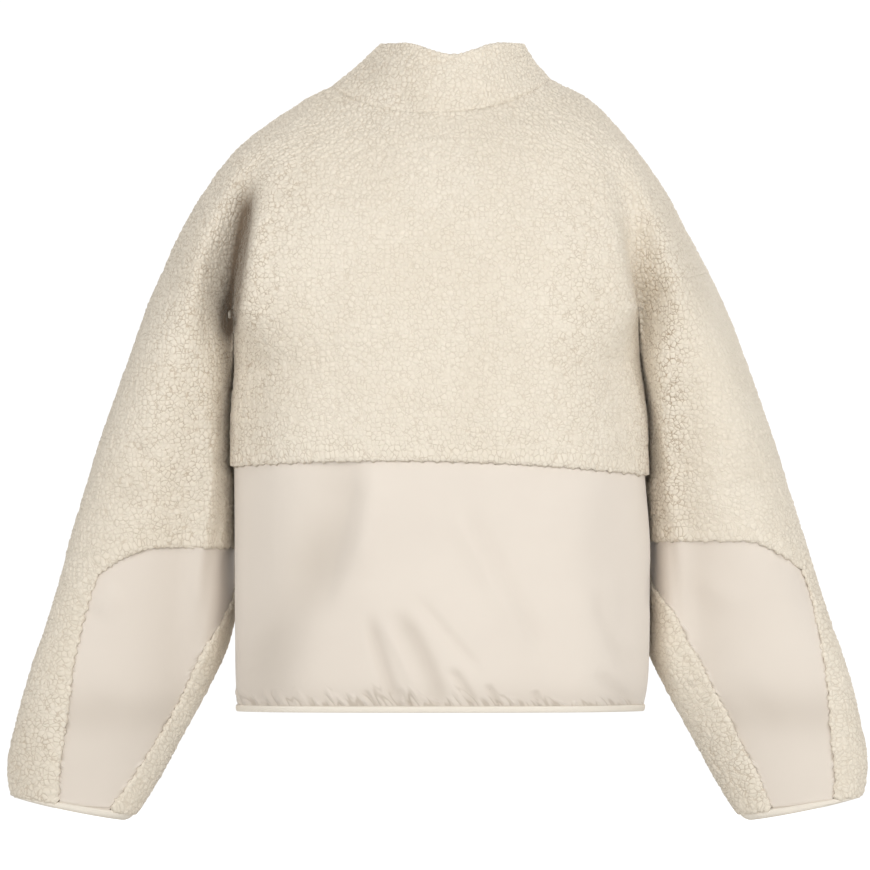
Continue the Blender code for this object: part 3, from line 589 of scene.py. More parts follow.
def edges_of_cells(grid, mirrored):
    """For each cell of a grid its four edges, each as the numbers of the points along it."""
    down, across = (np.arange(0, n - 1, FINE) for n in grid.shape)
    along = [
        [grid[np.ix_(down + k, across)] for k in range(FINE + 1)],
        [grid[np.ix_(down + FINE, across + k)] for k in range(FINE + 1)],
        [grid[np.ix_(down + FINE - k, across + FINE)] for k in range(FINE + 1)],
        [grid[np.ix_(down, across + FINE - k)] for k in range(FINE + 1)],
    ]
    edges = np.moveaxis(np.array(along), (0, 1), (2, 3)).reshape(-1, 4, FINE + 1)
    return edges[:, ::-1, ::-1] if mirrored else edges


def joined(sheets):
    """Every point once, its outward normal, and each sheet's grid of those points' numbers."""
    every = np.concatenate([sheet.reshape(-1, 3) for sheet in sheets.values()])
    _, first, number = np.unique(np.round(every, 3), axis=0, return_index=True, return_inverse=True)
    points, number = every[first], number.reshape(-1)
    grids, used = {}, 0
    normals = np.zeros_like(points)
    for name, sheet in sheets.items():
        grid = number[used:used + sheet.shape[0] * sheet.shape[1]].reshape(sheet.shape[:2])
        used += grid.size
        grids[name] = np.concatenate([grid, grid[:, :1]], axis=1)
        corners = quads_of(grids[name], name == "sleeve_left")
        a, b, c, d = (points[corners[:, k]] for k in range(4))
        own = np.zeros_like(points)
        for k in range(4):
            np.add.at(own, corners[:, k], np.cross(c - a, d - b))
        normals += unit(own) * (2 if "sleeve" in name else 1)
    return points, unit(normals), grids


def folded(points, folds):
    """How far the rows of a table of folds raise each point, and how much painted shade they lay on
    it.
    """
    rise, shade = np.zeros(len(points)), np.zeros(len(points))
    for k in range(len(folds["side"])):
        row = row_of(folds, k)
        run = np.array([row["x1"] - row["x0"], row["z1"] - row["z0"]])
        length = np.linalg.norm(run)
        run /= length
        from_start = points[:, [0, 2]] - (row["x0"], row["z0"])
        along = from_start @ run / length
        off = from_start @ (run[1], -run[0]) - 4 * row["bow"] * along * (1 - along)
        outer = (off > 0) == (row["x0"] + row["x1"] < 0)
        amount = np.exp(-(off / np.where(outer, row["outer"], row["inner"])) ** 2)
        ends = fade(1 - along / row["ends"]) * fade(1 - (1 - along) / row["ends"])
        on_side = fade(1 - (row["side"] * points[:, 1] - 2) / 20)
        amount *= ends * on_side * (along > 0) * (along < 1)
        rise += row["rise"] * amount
        shade += row["shade"] * amount
    return rise, np.minimum(shade, 1)


def pressed(points, side):
    """How far a sleeve's inner edge comes back to lie flat beside the body."""
    press = PRESSED["right" if side > 0 else "left"]
    start, full = PRESSED["upper_right" if side > 0 else "upper_left"]
    off = side * points[:, 0] - np.interp(points[:, 2], (-560, -400), press)
    amount = np.exp(-(off / np.where(off > 0, PRESSED["outer"], PRESSED["inner"])) ** 2)
    high = fade((points[:, 2] - full) / (start - full))
    low = fade((PRESSED["until"] - points[:, 2]) / (PRESSED["until"] - PRESSED["end"]))
    return PRESSED["rise"] * amount * high * low * fade((points[:, 1] - 10) / 40)


def patched(points, patches, base):
    """A value that rises softly in each patch of a table."""
    value = np.full(len(points), base)
    for k in range(len(patches["x"])):
        row = row_of(patches, k)
        off = ((points[:, 0] - row["x"]) / row["half_wide"]) ** 2
        value += row["amount"] * np.exp(-off - ((points[:, 2] - row["z"]) / row["half_high"]) ** 2)
    return value


# ---- which part of the form is which piece

def regions():
    """For each piece of cloth the parts of the sheets that it covers, as slices of cells."""
    whole, panel = slice(None), sum(SLEEVE_CELLS[:2])
    ridge, tape = sum(YOKE_CELLS[:5]), sum(YOKE_CELLS) + FRONT_CELLS
    side, waist_tape = sum(BODY_CELLS[:4]), sum(BODY_CELLS) + FRONT_CELLS
    chain, waist_chain = tape + TAPE_CELLS, waist_tape + TAPE_CELLS
    low_row = UPPER_BODY_ROWS + LOWER_BODY_ROWS
    upper, lower = slice(0, UPPER_BODY_ROWS), slice(UPPER_BODY_ROWS, low_row)

    def both(sheet, rows, first, last):
        """Cells right of the middle of the back, and the same ones left of it."""
        turn = 2 * (waist_chain if sheet == "body" else chain) + CHAIN_CELLS
        return [(sheet, rows, slice(first, last)), (sheet, rows, slice(turn - last, turn - first))]

    found = {
        "back": both("yoke", whole, 0, ridge) + both("body", upper, 0, side),
        "back_lower": both("body", lower, 0, side),
        "collar": both("collar", whole, 0, tape),
        "hem_binding": both("body", slice(low_row, None), 0, waist_tape),
        "zip_cord": [("collar", whole, slice(chain, chain + CHAIN_CELLS)),
                     ("yoke", whole, slice(chain, chain + CHAIN_CELLS)),
                     ("body", whole, slice(waist_chain, waist_chain + CHAIN_CELLS))],
    }
    for k, name in enumerate(("right", "left")):
        found["front_" + name] = [both("yoke", whole, ridge, tape)[k],
                                  both("body", upper, side, waist_tape)[k]]
        found["front_lower_" + name] = [both("body", lower, side, waist_tape)[k]]
        found["zip_tape_" + name] = [both("collar", whole, tape, chain)[k],
                                     both("yoke", whole, tape, chain)[k],
                                     both("body", whole, waist_tape, waist_chain)[k]]
        sleeve, forearm = "sleeve_" + name, slice(SLEEVE_ROWS, SLEEVE_ROWS + FOREARM_ROWS)
        found[sleeve] = [(sleeve, slice(0, SLEEVE_ROWS), whole),
                         (sleeve, forearm, slice(panel, None))]
        found["forearm_panel_" + name] = [(sleeve, forearm, slice(0, panel))]
        found["cuff_binding_" + name] = [(sleeve, slice(forearm.stop, None), whole)]
    return found


def part_of(grid, rows, columns):
    """The points of a slice of a grid's cells, with the lines round it."""
    first_row, last_row, _ = rows.indices((grid.shape[0] - 1) // FINE)
    first, last, _ = columns.indices((grid.shape[1] - 1) // FINE)
    return grid[first_row * FINE:last_row * FINE + 1, first * FINE:last * FINE + 1]


FAR_IN = 20.0  # past this a point's distance from the edge no longer matters


class Cut:
    """A piece of cloth on the form: its quads, its edge, and how far in each point is."""

    def __init__(self, pieces):
        parts = [(part_of(GRIDS[sheet], rows, columns), sheet == "sleeve_left")
                 for sheet, rows, columns in pieces]
        self.numbers, self.quads = np.unique(
            np.concatenate([quads_of(*part) for part in parts]), return_inverse=True)
        self.quads = self.quads.reshape(-1, 4)
        cells = np.concatenate([edges_of_cells(*part) for part in parts])
        cells = np.searchsorted(self.numbers, cells)
        self.cells = cells[:, :, 0]
        edges = cells.reshape(-1, FINE + 1)
        count = len(self.numbers)
        key, reverse = (edges[:, i] * count + edges[:, j] for i, j in ((0, -1), (-1, 0)))
        self.rim = edges[~np.isin(key, reverse)]
        self.points, self.normals = POINTS[self.numbers], NORMALS[self.numbers]
        start, end = self.rim[:, :-1].ravel(), self.rim[:, 1:].ravel()
        self.edge_numbers = np.stack([self.numbers[start], self.numbers[end]], axis=1)
        along = self.points[end] - self.points[start]
        normal = self.normals[start] + self.normals[end]
        outward = np.cross(along, normal)
        self.outward = outward / np.linalg.norm(outward, axis=1, keepdims=True)
        self.middles = 0.5 * (self.points[start] + self.points[end])
        inward = np.zeros_like(self.points)
        for ends in (start, end):
            np.add.at(inward, ends, -self.outward)
        long = np.maximum((inward**2).sum(axis=1, keepdims=True), 1e-9)
        self.points = self.points + SEAM_GAP * inward / long
        self.measure()

    def measure(self):
        """Each point's distance from the edge, and the edge that is nearest."""
        tree = kdtree.KDTree(len(self.middles))
        for k, middle in enumerate(self.middles):
            tree.insert(middle, k)
        tree.balance()
        self.nearest = np.array([tree.find(point)[1] for point in self.points])
        gap = self.middles[self.nearest] - self.points
        self.inside = np.maximum((gap * self.outward[self.nearest]).sum(axis=1), 0)
        self.inside[(gap**2).sum(axis=1) > FAR_IN**2] = FAR_IN


def placed(name, data):
    thing = bpy.data.objects.new(name, data)
    bpy.context.scene.collection.objects.link(thing)
    return thing


def add_mesh(name, vertices, groups, materials):
    """A mesh from points in millimetres and groups of faces, each with its material's number."""
    mesh = bpy.data.meshes.new(name)
    mesh.vertices.add(len(vertices))
    mesh.vertices.foreach_set("co", (np.asarray(vertices) * MM).astype(np.float32).ravel())
    loops = np.concatenate([faces.ravel() for faces, _ in groups])
    sizes = np.concatenate([np.full(len(faces), faces.shape[1]) for faces, _ in groups])
    mesh.loops.add(len(loops))
    mesh.loops.foreach_set("vertex_index", loops.astype(np.int32))
    mesh.polygons.add(len(sizes))
    mesh.polygons.foreach_set("loop_start", (np.cumsum(sizes) - sizes).astype(np.int32))
    numbers = np.concatenate([np.full(len(faces), number) for faces, number in groups])
    mesh.polygons.foreach_set("material_index", numbers.astype(np.int32))
    mesh.update(calc_edges=True)
    mesh.shade_smooth()
    for material in materials:
        mesh.materials.append(material)
    return placed(name, mesh)


def walled(name, cut, face, under, lining, materials):
    """A closed wall: the face's points, a line of points under its edge, and the lining's."""
    count, rim = len(face), cut.rim
    rim_points, place = np.unique(rim, return_inverse=True)
    place = place.reshape(rim.shape) + count
    kept, cells = np.unique(cut.cells, return_inverse=True)
    cells = cells.reshape(-1, 4) + count + len(rim_points)
    ends = np.searchsorted(kept, rim[:, [0, -1]]) + count + len(rim_points)
    turned = np.stack([rim[:, :-1], place[:, :-1], place[:, 1:], rim[:, 1:]], axis=-1)
    closing = np.concatenate([ends, place[:, ::-1]], axis=1)
    vertices = np.concatenate([face, under[rim_points], lining[kept]])
    groups = [(cut.quads, 0), (turned.reshape(-1, 4), 0), (closing, 1), (cells[:, ::-1], 1)]
    return add_mesh(name, vertices, groups, materials)


def select_only(thing):
    bpy.ops.object.select_all(action="DESELECT")
    bpy.context.view_layer.objects.active = thing
    thing.select_set(True)


def applied(thing, kind, **settings):
    """Gives a piece a modifier and applies it."""
    modifier = thing.modifiers.new(kind.lower(), kind)
    for key, value in settings.items():
        setattr(modifier, key, value)
    select_only(thing)
    bpy.ops.object.modifier_apply(modifier=modifier.name)
    return thing


def attribute(thing, name, kind, values):
    """Stores values on a mesh's points, filled with zeros past the last that is given."""
    data = thing.data.attributes.new(name, kind, "POINT").data
    width = 3 if kind == "FLOAT_VECTOR" else 1
    whole = np.zeros((len(thing.data.vertices), width), np.float32)
    whole[:len(values)] = np.asarray(values, np.float32).reshape(-1, width)
    data.foreach_set("vector" if width == 3 else "value", whole.ravel())


# ---- shader and geometry nodes

class Nodes:
    """Adds nodes to a tree and links them; any input may be a number, a colour or a socket."""

    def __init__(self, tree):
        self.tree = tree

    def add(self, kind, inputs=(), **settings):
        node = self.tree.nodes.new(kind)
        for key, value in settings.items():
            setattr(node, key, value)
        for key, value in dict(inputs).items():
            if isinstance(value, bpy.types.NodeSocket):
                self.tree.links.new(value, node.inputs[key])
            else:
                node.inputs[key].default_value = value
        return node

    def math(self, operation, a, b=0.0, c=0.0):
        return self.add("ShaderNodeMath", {0: a, 1: b, 2: c}, operation=operation).outputs[0]

    def vector(self, operation, a, b=(0, 0, 0), scale=1.0):
        node = self.add("ShaderNodeVectorMath", {0: a, 1: b, 3: scale}, operation=operation)
        return node.outputs[0]

    def step(self, value, low, high, start=0.0, end=1.0):
        """start below low, rising smoothly to end above high"""
        node = self.add("ShaderNodeMapRange", {"Value": value, 1: low, 2: high, 3: start, 4: end},
                        interpolation_type="SMOOTHSTEP")
        return node.outputs[0]

    def noise(self, vector, scale, detail=2.0, roughness=0.5):
        return self.add("ShaderNodeTexNoise", {"Vector": vector, "Scale": scale, "Detail": detail,
                                               "Roughness": roughness})

    def mix(self, share, first, second):
        node = self.add("ShaderNodeMix", {0: share, 6: first, 7: second}, data_type="RGBA")
        return node.outputs[2]

    def here(self):
        """The place on the jacket."""
        return self.add("ShaderNodeTexCoord").outputs["Object"]

    def stored(self, name, output="Fac"):
        """A value stored on the piece's points."""
        return self.add("ShaderNodeAttribute", attribute_name=name).outputs[output]

    def named(self, name, kind):
        """The same, in a tree of geometry nodes."""
        node = self.add("GeometryNodeInputNamedAttribute", {"Name": name}, data_type=kind)
        return node.outputs["Attribute"]

    def parts(self, vector):
        return self.add("ShaderNodeSeparateXYZ", {0: vector}).outputs


def pile_pattern(nodes, place):
    """The clumps of the pile, one unit of place each: distance from the crevices, each clump's own
    number, and place as it is bent to make the clumps uneven."""
    bent = place
    for scale, amount in ((0.45, 1.0), (2.1, 0.34)):
        bend = nodes.noise(place, scale, 1.0).outputs["Color"]
        bend = nodes.vector("SUBTRACT", bend, (0.5, 0.5, 0.5))
        bent = nodes.vector("ADD", bent, nodes.vector("SCALE", bend, scale=amount))
    edge = nodes.add("ShaderNodeTexVoronoi", {"Vector": bent, "Scale": 1.0, "Randomness": 0.85},
                     feature="DISTANCE_TO_EDGE").outputs["Distance"]
    own = nodes.add("ShaderNodeTexVoronoi", {"Vector": bent, "Scale": 1.0, "Randomness": 0.85})
    return edge, own.outputs["Color"], bent


def new_tree(name, kind, given, made):
    """A node group of a kind, with its inputs and its outputs, each a name and a kind of socket."""
    tree = bpy.data.node_groups.new(name, kind + "NodeTree")
    for way, sockets in (("INPUT", given), ("OUTPUT", made)):
        for label, socket in sockets:
            tree.interface.new_socket(label, in_out=way, socket_type="NodeSocket" + socket)
    return tree


def relief_of(name, height_of):
    """Geometry nodes that raise a piece's face along its normals by what height_of builds."""
    tree = new_tree(name, "Geometry", [("Geometry", "Geometry")], [("Geometry", "Geometry")])
    nodes = Nodes(tree)
    start = nodes.add("NodeGroupInput")
    normal = nodes.add("GeometryNodeInputNormal").outputs[0]
    offset = nodes.vector("SCALE", normal, scale=height_of(nodes))
    moved = nodes.add("GeometryNodeSetPosition", {"Geometry": start.outputs[0], "Offset": offset})
    end = nodes.add("NodeGroupOutput")
    tree.links.new(moved.outputs[0], end.inputs[0])
    return tree


def pile_height(nodes):
    """The clumps of the pile, raised by the piece's own loft."""
    place = nodes.named("pile", "FLOAT_VECTOR")
    edge, own, bent = pile_pattern(nodes, place)
    rise = nodes.step(edge, -0.05, 0.32)
    taller = nodes.math("MULTIPLY_ADD", nodes.parts(own)[0], 0.35, 0.75)
    rise = nodes.math("MULTIPLY", rise, taller)
    lumps = nodes.math("SUBTRACT", nodes.noise(place, 0.35, 2.0).outputs[0], 0.5)
    rise = nodes.math("MULTIPLY_ADD", lumps, 1.2, rise)
    return nodes.math("MULTIPLY", nodes.math("SUBTRACT", rise, 0.6), nodes.named("loft", "FLOAT"))


def pucker_height(nodes):
    """The puckers along the gathered seams, from nothing at the seam itself."""
    place = nodes.named("seam", "FLOAT_VECTOR")
    height = puckers(nodes, {"Place": place})["Height"]
    raised = nodes.step(nodes.parts(place)[1], 0.3, 2.5, 0.0, PUCKER * MM)
    return nodes.math("MULTIPLY", height, raised)


def shader_group(name, outputs, build):
    """A shader node group that turns a place into the named numbers, as build makes them."""
    tree = new_tree(name, "Shader", [("Place", "Vector")], [(label, "Float") for label in outputs])
    nodes = Nodes(tree)
    made = build(nodes, nodes.add("NodeGroupInput").outputs)
    nodes.add("NodeGroupOutput", {label: made[label] for label in outputs})
    return tree


def clumps(nodes, given):
    edge, own, bent = pile_pattern(nodes, given["Place"])
    depth = nodes.step(nodes.noise(given["Place"], 0.6, 2.0).outputs[0], 0.32, 0.62, 0.15, 1.0)
    crevice = nodes.math("MULTIPLY", nodes.step(edge, 0.0, 0.12, 1.0, 0.0), depth)
    curls = nodes.noise(bent, 4.0, 3.0, 0.6).outputs[0]
    height = nodes.math("MULTIPLY_ADD", curls, 0.30, nodes.step(edge, 0.0, 0.20))
    return {"Crevice": crevice, "Clump": nodes.parts(own)[0], "Height": height, "Curls": curls}


def material_of(name):
    """A material with a Principled shader: its nodes' helper, and the shader."""
    material = bpy.data.materials.new(name)
    material.use_nodes = True
    nodes = Nodes(material.node_tree)
    return material, nodes, material.node_tree.nodes["Principled BSDF"]


def finish_of(nodes, shader, colour=None, height=None, depth=0.001, strength=1.0, **constants):
    for label, value in constants.items():
        shader.inputs[label.replace("_", " ")].default_value = value
    if colour is not None:
        nodes.tree.links.new(colour, shader.inputs["Base Color"])
    if height is not None:
        bump = nodes.add("ShaderNodeBump",
                         {"Height": height, "Strength": strength, "Distance": depth})
        nodes.tree.links.new(bump.outputs[0], shader.inputs["Normal"])


# The pile's two tones, its lightest clumps, and painted shade for its curls' hollows and crevices
SHERPA_TONES = [(0.800, 0.724, 0.605, 1), (0.828, 0.756, 0.640, 1), (0.86, 0.79, 0.68, 1),
                (0.74, 0.65, 0.53, 1), (0.44, 0.34, 0.24, 1)]
NYLON_TONES = [(0.748, 0.672, 0.588, 1), (0.770, 0.694, 0.608, 1)]


def painted_shade_on(nodes, tone, deep):
    """A tone that turns to a dark one where the painted shade mask on the piece's points says."""
    shade = nodes.stored("shade")
    return nodes.mix(shade, tone, (*deep, 1))


def sherpa_material():
    group = shader_group("clumped pile", ("Crevice", "Clump", "Height", "Curls"), clumps)
    material, nodes, shader = material_of("sherpa pile")
    place = nodes.stored("pile", "Vector")
    crevice_shade_strength = nodes.stored("crevice_shade_strength")
    pile = nodes.add("ShaderNodeGroup", node_tree=group, inputs={"Place": place}).outputs
    here = nodes.here()
    mottle = nodes.noise(here, 14.0, 3.0).outputs[0]
    tone = nodes.mix(nodes.step(mottle, 0.35, 0.65), SHERPA_TONES[0], SHERPA_TONES[1])
    tone = nodes.mix(nodes.math("MULTIPLY", pile["Clump"], 0.25), tone, SHERPA_TONES[2])
    # painted shade in the hollows of the curls
    tone = nodes.mix(nodes.step(pile["Curls"], 0.25, 0.5, 0.12, 0.0), tone, SHERPA_TONES[3])
    # painted shade in the crevices between the clumps, as strong as the crevice shade strength says
    tone = nodes.mix(nodes.math("MULTIPLY", pile["Crevice"], crevice_shade_strength), tone, SHERPA_TONES[4])
    # painted shade in the folds and valleys, to a dark brown
    tone = painted_shade_on(nodes, tone, (0.20, 0.15, 0.105))
    finish_of(nodes, shader, tone, pile["Height"], depth=0.0007, strength=0.6, Roughness=1.0,
              Sheen_Weight=0.6, Sheen_Roughness=0.5, Sheen_Tint=(1, 0.92, 0.80, 1),
              Specular_IOR_Level=0.05)
    return material


def puckers(nodes, given):
    """Short slanted creases that run in from a gathered seam. Place is how far along the seam, how
    far from it, and how far the creases reach, in millimetres."""
    along, away, reach = nodes.parts(given["Place"])
    slanted = nodes.math("MULTIPLY_ADD", away, 0.75, along)
    flat = nodes.add("ShaderNodeCombineXYZ", {0: nodes.math("MULTIPLY", slanted, 0.085),
                                              1: nodes.math("MULTIPLY", away, 0.03)}).outputs[0]
    off = nodes.math("SUBTRACT", nodes.noise(flat, 1.0, 1.0).outputs[0], 0.5)
    off = nodes.math("ABSOLUTE", off)
    longer = nodes.noise(nodes.vector("SCALE", flat, scale=0.6), 1.0, 1.0).outputs[0]
    longest = nodes.math("MULTIPLY", reach, nodes.step(longer, 0.3, 0.7, 0.35, 2.0))
    share = nodes.step(nodes.math("DIVIDE", away, longest), 0.3, 1.0, 1.0, 0.0)
    crease = nodes.math("MULTIPLY", nodes.step(off, 0.0, 0.05, 1.0, 0.0), share)
    height = nodes.math("MULTIPLY", nodes.step(off, 0.0, 0.20), share)
    return {"Crease": crease, "Height": height}


def nylon_material():
    group = shader_group("seam puckers", ("Crease", "Height"), puckers)
    material, nodes, shader = material_of("nylon")
    seam = nodes.stored("seam", "Vector")
    gathered = nodes.add("ShaderNodeGroup", node_tree=group, inputs={"Place": seam}).outputs
    here = nodes.here()
    cloud = nodes.noise(here, 9.0, 3.0).outputs[0]
    tone = nodes.mix(nodes.step(cloud, 0.3, 0.7), *NYLON_TONES)
    # painted shade in the creases of the puckers
    tone = nodes.mix(nodes.math("MULTIPLY", gathered["Crease"], 0.55), tone, (0.42, 0.35, 0.27, 1))
    # painted shade in the folds and in the nylon's shaded regions, to a dark tan
    tone = painted_shade_on(nodes, tone, (0.36, 0.30, 0.23))
    weave = nodes.noise(here, 1600.0, 1.0).outputs[0]
    creases = nodes.noise(here, 60.0, 4.0, 0.6).outputs[0]
    height = nodes.math("MULTIPLY_ADD", creases, 0.5, nodes.math("MULTIPLY", weave, 0.25))
    height = nodes.math("MULTIPLY_ADD", gathered["Height"], 3.0, height)
    finish_of(nodes, shader, tone, height, depth=0.0004, strength=0.7, Roughness=0.55,
              Specular_IOR_Level=0.35, Sheen_Weight=0.4, Sheen_Roughness=0.6)
    return material


def ribbed_material(name, scale, direction, distortion, detail, low, high, depth, strength,
                    **finish):
    """Knitted or woven cloth with fine ribs that run across a direction, in two tones."""
    material, nodes, shader = material_of(name)
    ribs = nodes.add("ShaderNodeTexWave", {"Vector": nodes.here(), "Scale": scale, "Detail": detail,
                                           "Distortion": distortion}, bands_direction=direction)
    tone = nodes.mix(ribs.outputs["Fac"], (*low, 1), (*high, 1))
    finish_of(nodes, shader, tone, ribs.outputs["Fac"], depth, strength, **finish)
    return material


def plastic_material(name, low, high, roughness, metallic=0.0):
    material, nodes, shader = material_of(name)
    here = nodes.here()
    speckle = nodes.noise(here, 900.0, 2.0).outputs[0]
    tone = nodes.mix(nodes.step(speckle, 0.3, 0.7), (*low, 1), (*high, 1))
    finish_of(nodes, shader, tone, speckle, depth=0.00006, strength=0.5, Roughness=roughness,
              Metallic=metallic)
    return material


# ---- pieces of cloth

# A pile edge over thinner cloth: where it starts to turn, its radius, how far back it settles, how
# uneven it is, how deep it goes in under the face, and how far under it turns
TURN = {"width": 4.0, "start": -1.0, "radius": 3.2, "settle": 8.0, "wave": 0.8, "under": 3.9,
        "from_angle": -15}
OPEN_TURN = 3.0
PILE_SEAM = {"drop": 0.3, "width": 2.5}
# Kinds of edge: low over thinner cloth, open along the collar's top, sewn to other pile
LOW, OPEN, SEWN = 0, 1, 2
CLUMP = {"back": 4.4, "front_left": 4.4, "front_right": 4.4, "collar": 4.3, "sleeve_left": 4.5,
         "sleeve_right": 4.5}
LOFT = 1.4  # height of the clumps


def shape_of_edge(cut, kinds):
    """How a pile piece's face turns over along its edge: sideways and inwards, in millimetres."""
    inside, kind = cut.inside, kinds[cut.nearest]
    from_angle = TURN["from_angle"]
    angle = from_angle + (90 - from_angle) * np.clip(inside / TURN["width"], 0, 1)
    angle = np.radians(angle)
    over = TURN["start"] + TURN["radius"] * np.cos(angle) + inside
    plain = (TURN["start"] + TURN["width"]) * fade((inside - TURN["width"]) / TURN["settle"])
    low_side = np.where(inside < TURN["width"], over, plain)
    at = cut.points
    wave = np.sin(0.93 * at[:, 0] + 0.37 * at[:, 2]) + np.sin(0.41 * at[:, 0] - 0.71 * at[:, 2] + 2)
    low_side = low_side + TURN["wave"] * wave * fade(inside / 4)
    low_drop = np.where(inside < TURN["width"], TURN["radius"] * (1 - np.sin(angle)), 0)
    share = np.clip(1 - inside / OPEN_TURN, 0, 1)
    open_drop = OPEN_TURN * (1 - np.sqrt(1 - share**2))
    seam_drop = PILE_SEAM["drop"] * fade(inside / PILE_SEAM["width"])
    seam_side = 2.5 * SEAM_GAP * fade(inside / 2)
    side = np.select([kind == LOW, kind == SEWN], [low_side, seam_side], 0)
    drop = np.select([kind == LOW, kind == OPEN], [low_drop, open_drop], seam_drop)
    return side[:, None], drop[:, None]


def pile_piece(name, cut, others, relief, materials):
    """A piece of fleece: clumped pile on its face, turned over at its edges."""
    size = len(POINTS)
    mine = cut.edge_numbers[:, 0] * size + cut.edge_numbers[:, 1]
    theirs = np.concatenate([c.edge_numbers[:, 1] * size + c.edge_numbers[:, 0] for c in others])
    top = np.isin(cut.edge_numbers, GRIDS["collar"][0]).all(axis=1)
    armholes = np.concatenate([GRIDS[sheet][0] for sheet in ("body",) + SLEEVES])
    seam = np.isin(mine, theirs) | np.isin(cut.edge_numbers, armholes).all(axis=1)
    kinds = np.select([top, seam], [OPEN, SEWN], LOW)
    side, drop = shape_of_edge(cut, kinds)
    face = cut.points + side * cut.outward[cut.nearest] - drop * cut.normals
    under = cut.points - TURN["under"] * cut.normals
    lining = cut.points - SHERPA["wall"] * cut.normals
    lining[:, 1] -= patched(FORM[cut.numbers], LINING_DEEP, 0.0) * np.sign(FORM[cut.numbers, 1])
    thing = walled(name, cut, face, under, lining, materials)
    every = np.concatenate([cut.points, cut.points[np.unique(cut.rim)]])
    attribute(thing, "pile", "FLOAT_VECTOR", every / CLUMP[name])
    attribute(thing, "loft", "FLOAT", LOFT * MM * (1 - 0.4 * fade(cut.inside / 3.0)))
    # painted shade from the folds and from the pile's shade patches
    shade = SHADE[cut.numbers] + patched(FORM[cut.numbers], SHERPA_PAINTED_SHADE, 0.0)
    attribute(thing, "shade", "FLOAT", np.minimum(shade, 1))
    # how strongly the crevices take painted shade, more where the folds lay painted shade
    crevice_shade_strength = patched(FORM[cut.numbers], CREVICE_SHADE, CREVICE_SHADE_BASE) + 0.5 * SHADE[cut.numbers]
    attribute(thing, "crevice_shade_strength", "FLOAT", np.minimum(crevice_shade_strength, 1))
    return applied(thing, "NODES", node_group=relief)


PUCKER = 1.6  # height of the puckers
PANEL_REACH = 3.5  # how far in the puckers of the forearm panels reach
# How far up the puckers of the hem reach, from the left to the right
HEM_REACH = ((-190, -80, 40, 80, 190), (9, 13, 14, 7, 5))


def nylon_piece(name, cut, relief, materials):
    """A piece of nylon with its folds, and puckers along the seams that gather it."""
    at = FORM[cut.numbers]
    # the folds raise the nylon; their shade and the nylon's shade patches are painted shade on its
    # colour
    rise, shade = folded(at, NYLON_FOLDS)
    shade += patched(at, NYLON_PAINTED_SHADE, 0.0)
    if "panel" in name:
        along, away, reach = at[:, 2], cut.inside, np.full(len(at), PANEL_REACH)
    else:
        low = cut.middles[cut.middles[:, 2] < BODY["z"][5] - 20]
        low = low[np.argsort(low[:, 0])]
        along, away = at[:, 0], at[:, 2] - np.interp(at[:, 0], low[:, 0], low[:, 2])
        reach = np.interp(along, *HEM_REACH)
    rise = rise * fade(1 - cut.inside / 1.5)
    thing = flat_piece(name, cut, NYLON, rise, materials, UNDERLAP["nylon"], 2)
    attribute(thing, "seam", "FLOAT_VECTOR", np.stack([along, away, reach], axis=1))
    attribute(thing, "shade", "FLOAT", np.minimum(shade + SHADE[cut.numbers], 1))
    return applied(thing, "NODES", node_group=relief)


def flat_piece(name, cut, kind, rise, materials, wider=0.0, axis=0):
    """A piece of thin cloth, raised from its place by rise and reaching wider under its neighbours
    at its sides (axis 0) or its lower and upper edges (axis 2), in millimetres."""
    rise = np.broadcast_to(rise, len(cut.points))[:, None]
    out = cut.outward[cut.nearest]
    side = np.where(np.abs(out[:, [axis]]) > 0.7, wider * fade(cut.inside / 3)[:, None], 0)
    face = cut.points + side * out + (rise - kind["inset"]) * cut.normals
    under = face - 0.3 * kind["wall"] * cut.normals
    lining = face - kind["wall"] * cut.normals
    return walled(name, cut, face, under, lining, materials)


# ---- the zip's teeth, slider, tab and box

SLIDER = {"below_edge": 9.0, "width": 8.4, "height": 12.0, "thick": 2.2, "tunnel": 2.4, "bar": 1.2,
          "bridge_width": 2.6, "bridge_reach": 4.2, "groove": (0.75, 1.45), "taper": 0.62,
          "rim": 0.9, "sunk": 0.4}
PULL = {"half": 3.2, "thick": 1.4, "slot_half": 1.8, "slot": 5.4, "hole_from": 15.0,
        "hole_to": 21.0, "length": 24.0, "round_low": 2.0, "round_top": 0.6, "round_hole": 1.2}
CHAIN_INSET = 3.0  # of the zip chain that the slider rides on
TEETH = {"pitch": 3.0, "high": 1.7, "inset": 3.2, "start": 2.0, "end": 8.6, "root": 2.5, "tip": 0.9,
         "half": 0.72}


def block(name, low, high):
    """A block between two corners, in millimetres, to be modelled further."""
    low, high = Vector(low) * MM, Vector(high) * MM
    bpy.ops.object.select_all(action="DESELECT")
    bpy.ops.mesh.primitive_cube_add(size=1, location=(low + high) / 2)
    thing = bpy.context.object
    thing.name = thing.data.name = name
    thing.scale = high - low
    bpy.ops.object.transform_apply(location=True, rotation=True, scale=True)
    return thing


def worked(thing, mode, test, *steps):
    """In edit mode, works only the faces or edges whose corners, in millimetres, pass a test."""
    select_only(thing)
    bpy.ops.object.mode_set(mode="EDIT")
    bpy.ops.mesh.select_mode(type=mode)
    bpy.ops.mesh.select_all(action="DESELECT")
    bpy.ops.object.mode_set(mode="OBJECT")
    mesh = thing.data
    for item in (mesh.polygons if mode == "FACE" else mesh.edges):
        item.select = bool(test(np.array([mesh.vertices[k].co for k in item.vertices]) / MM))
    bpy.ops.object.mode_set(mode="EDIT")
    for step in steps:
        step()
    bpy.ops.object.mode_set(mode="OBJECT")


def sunk(depth):
    bpy.ops.mesh.extrude_region_move(TRANSFORM_OT_translate={"value": (0, -depth * MM, 0)})


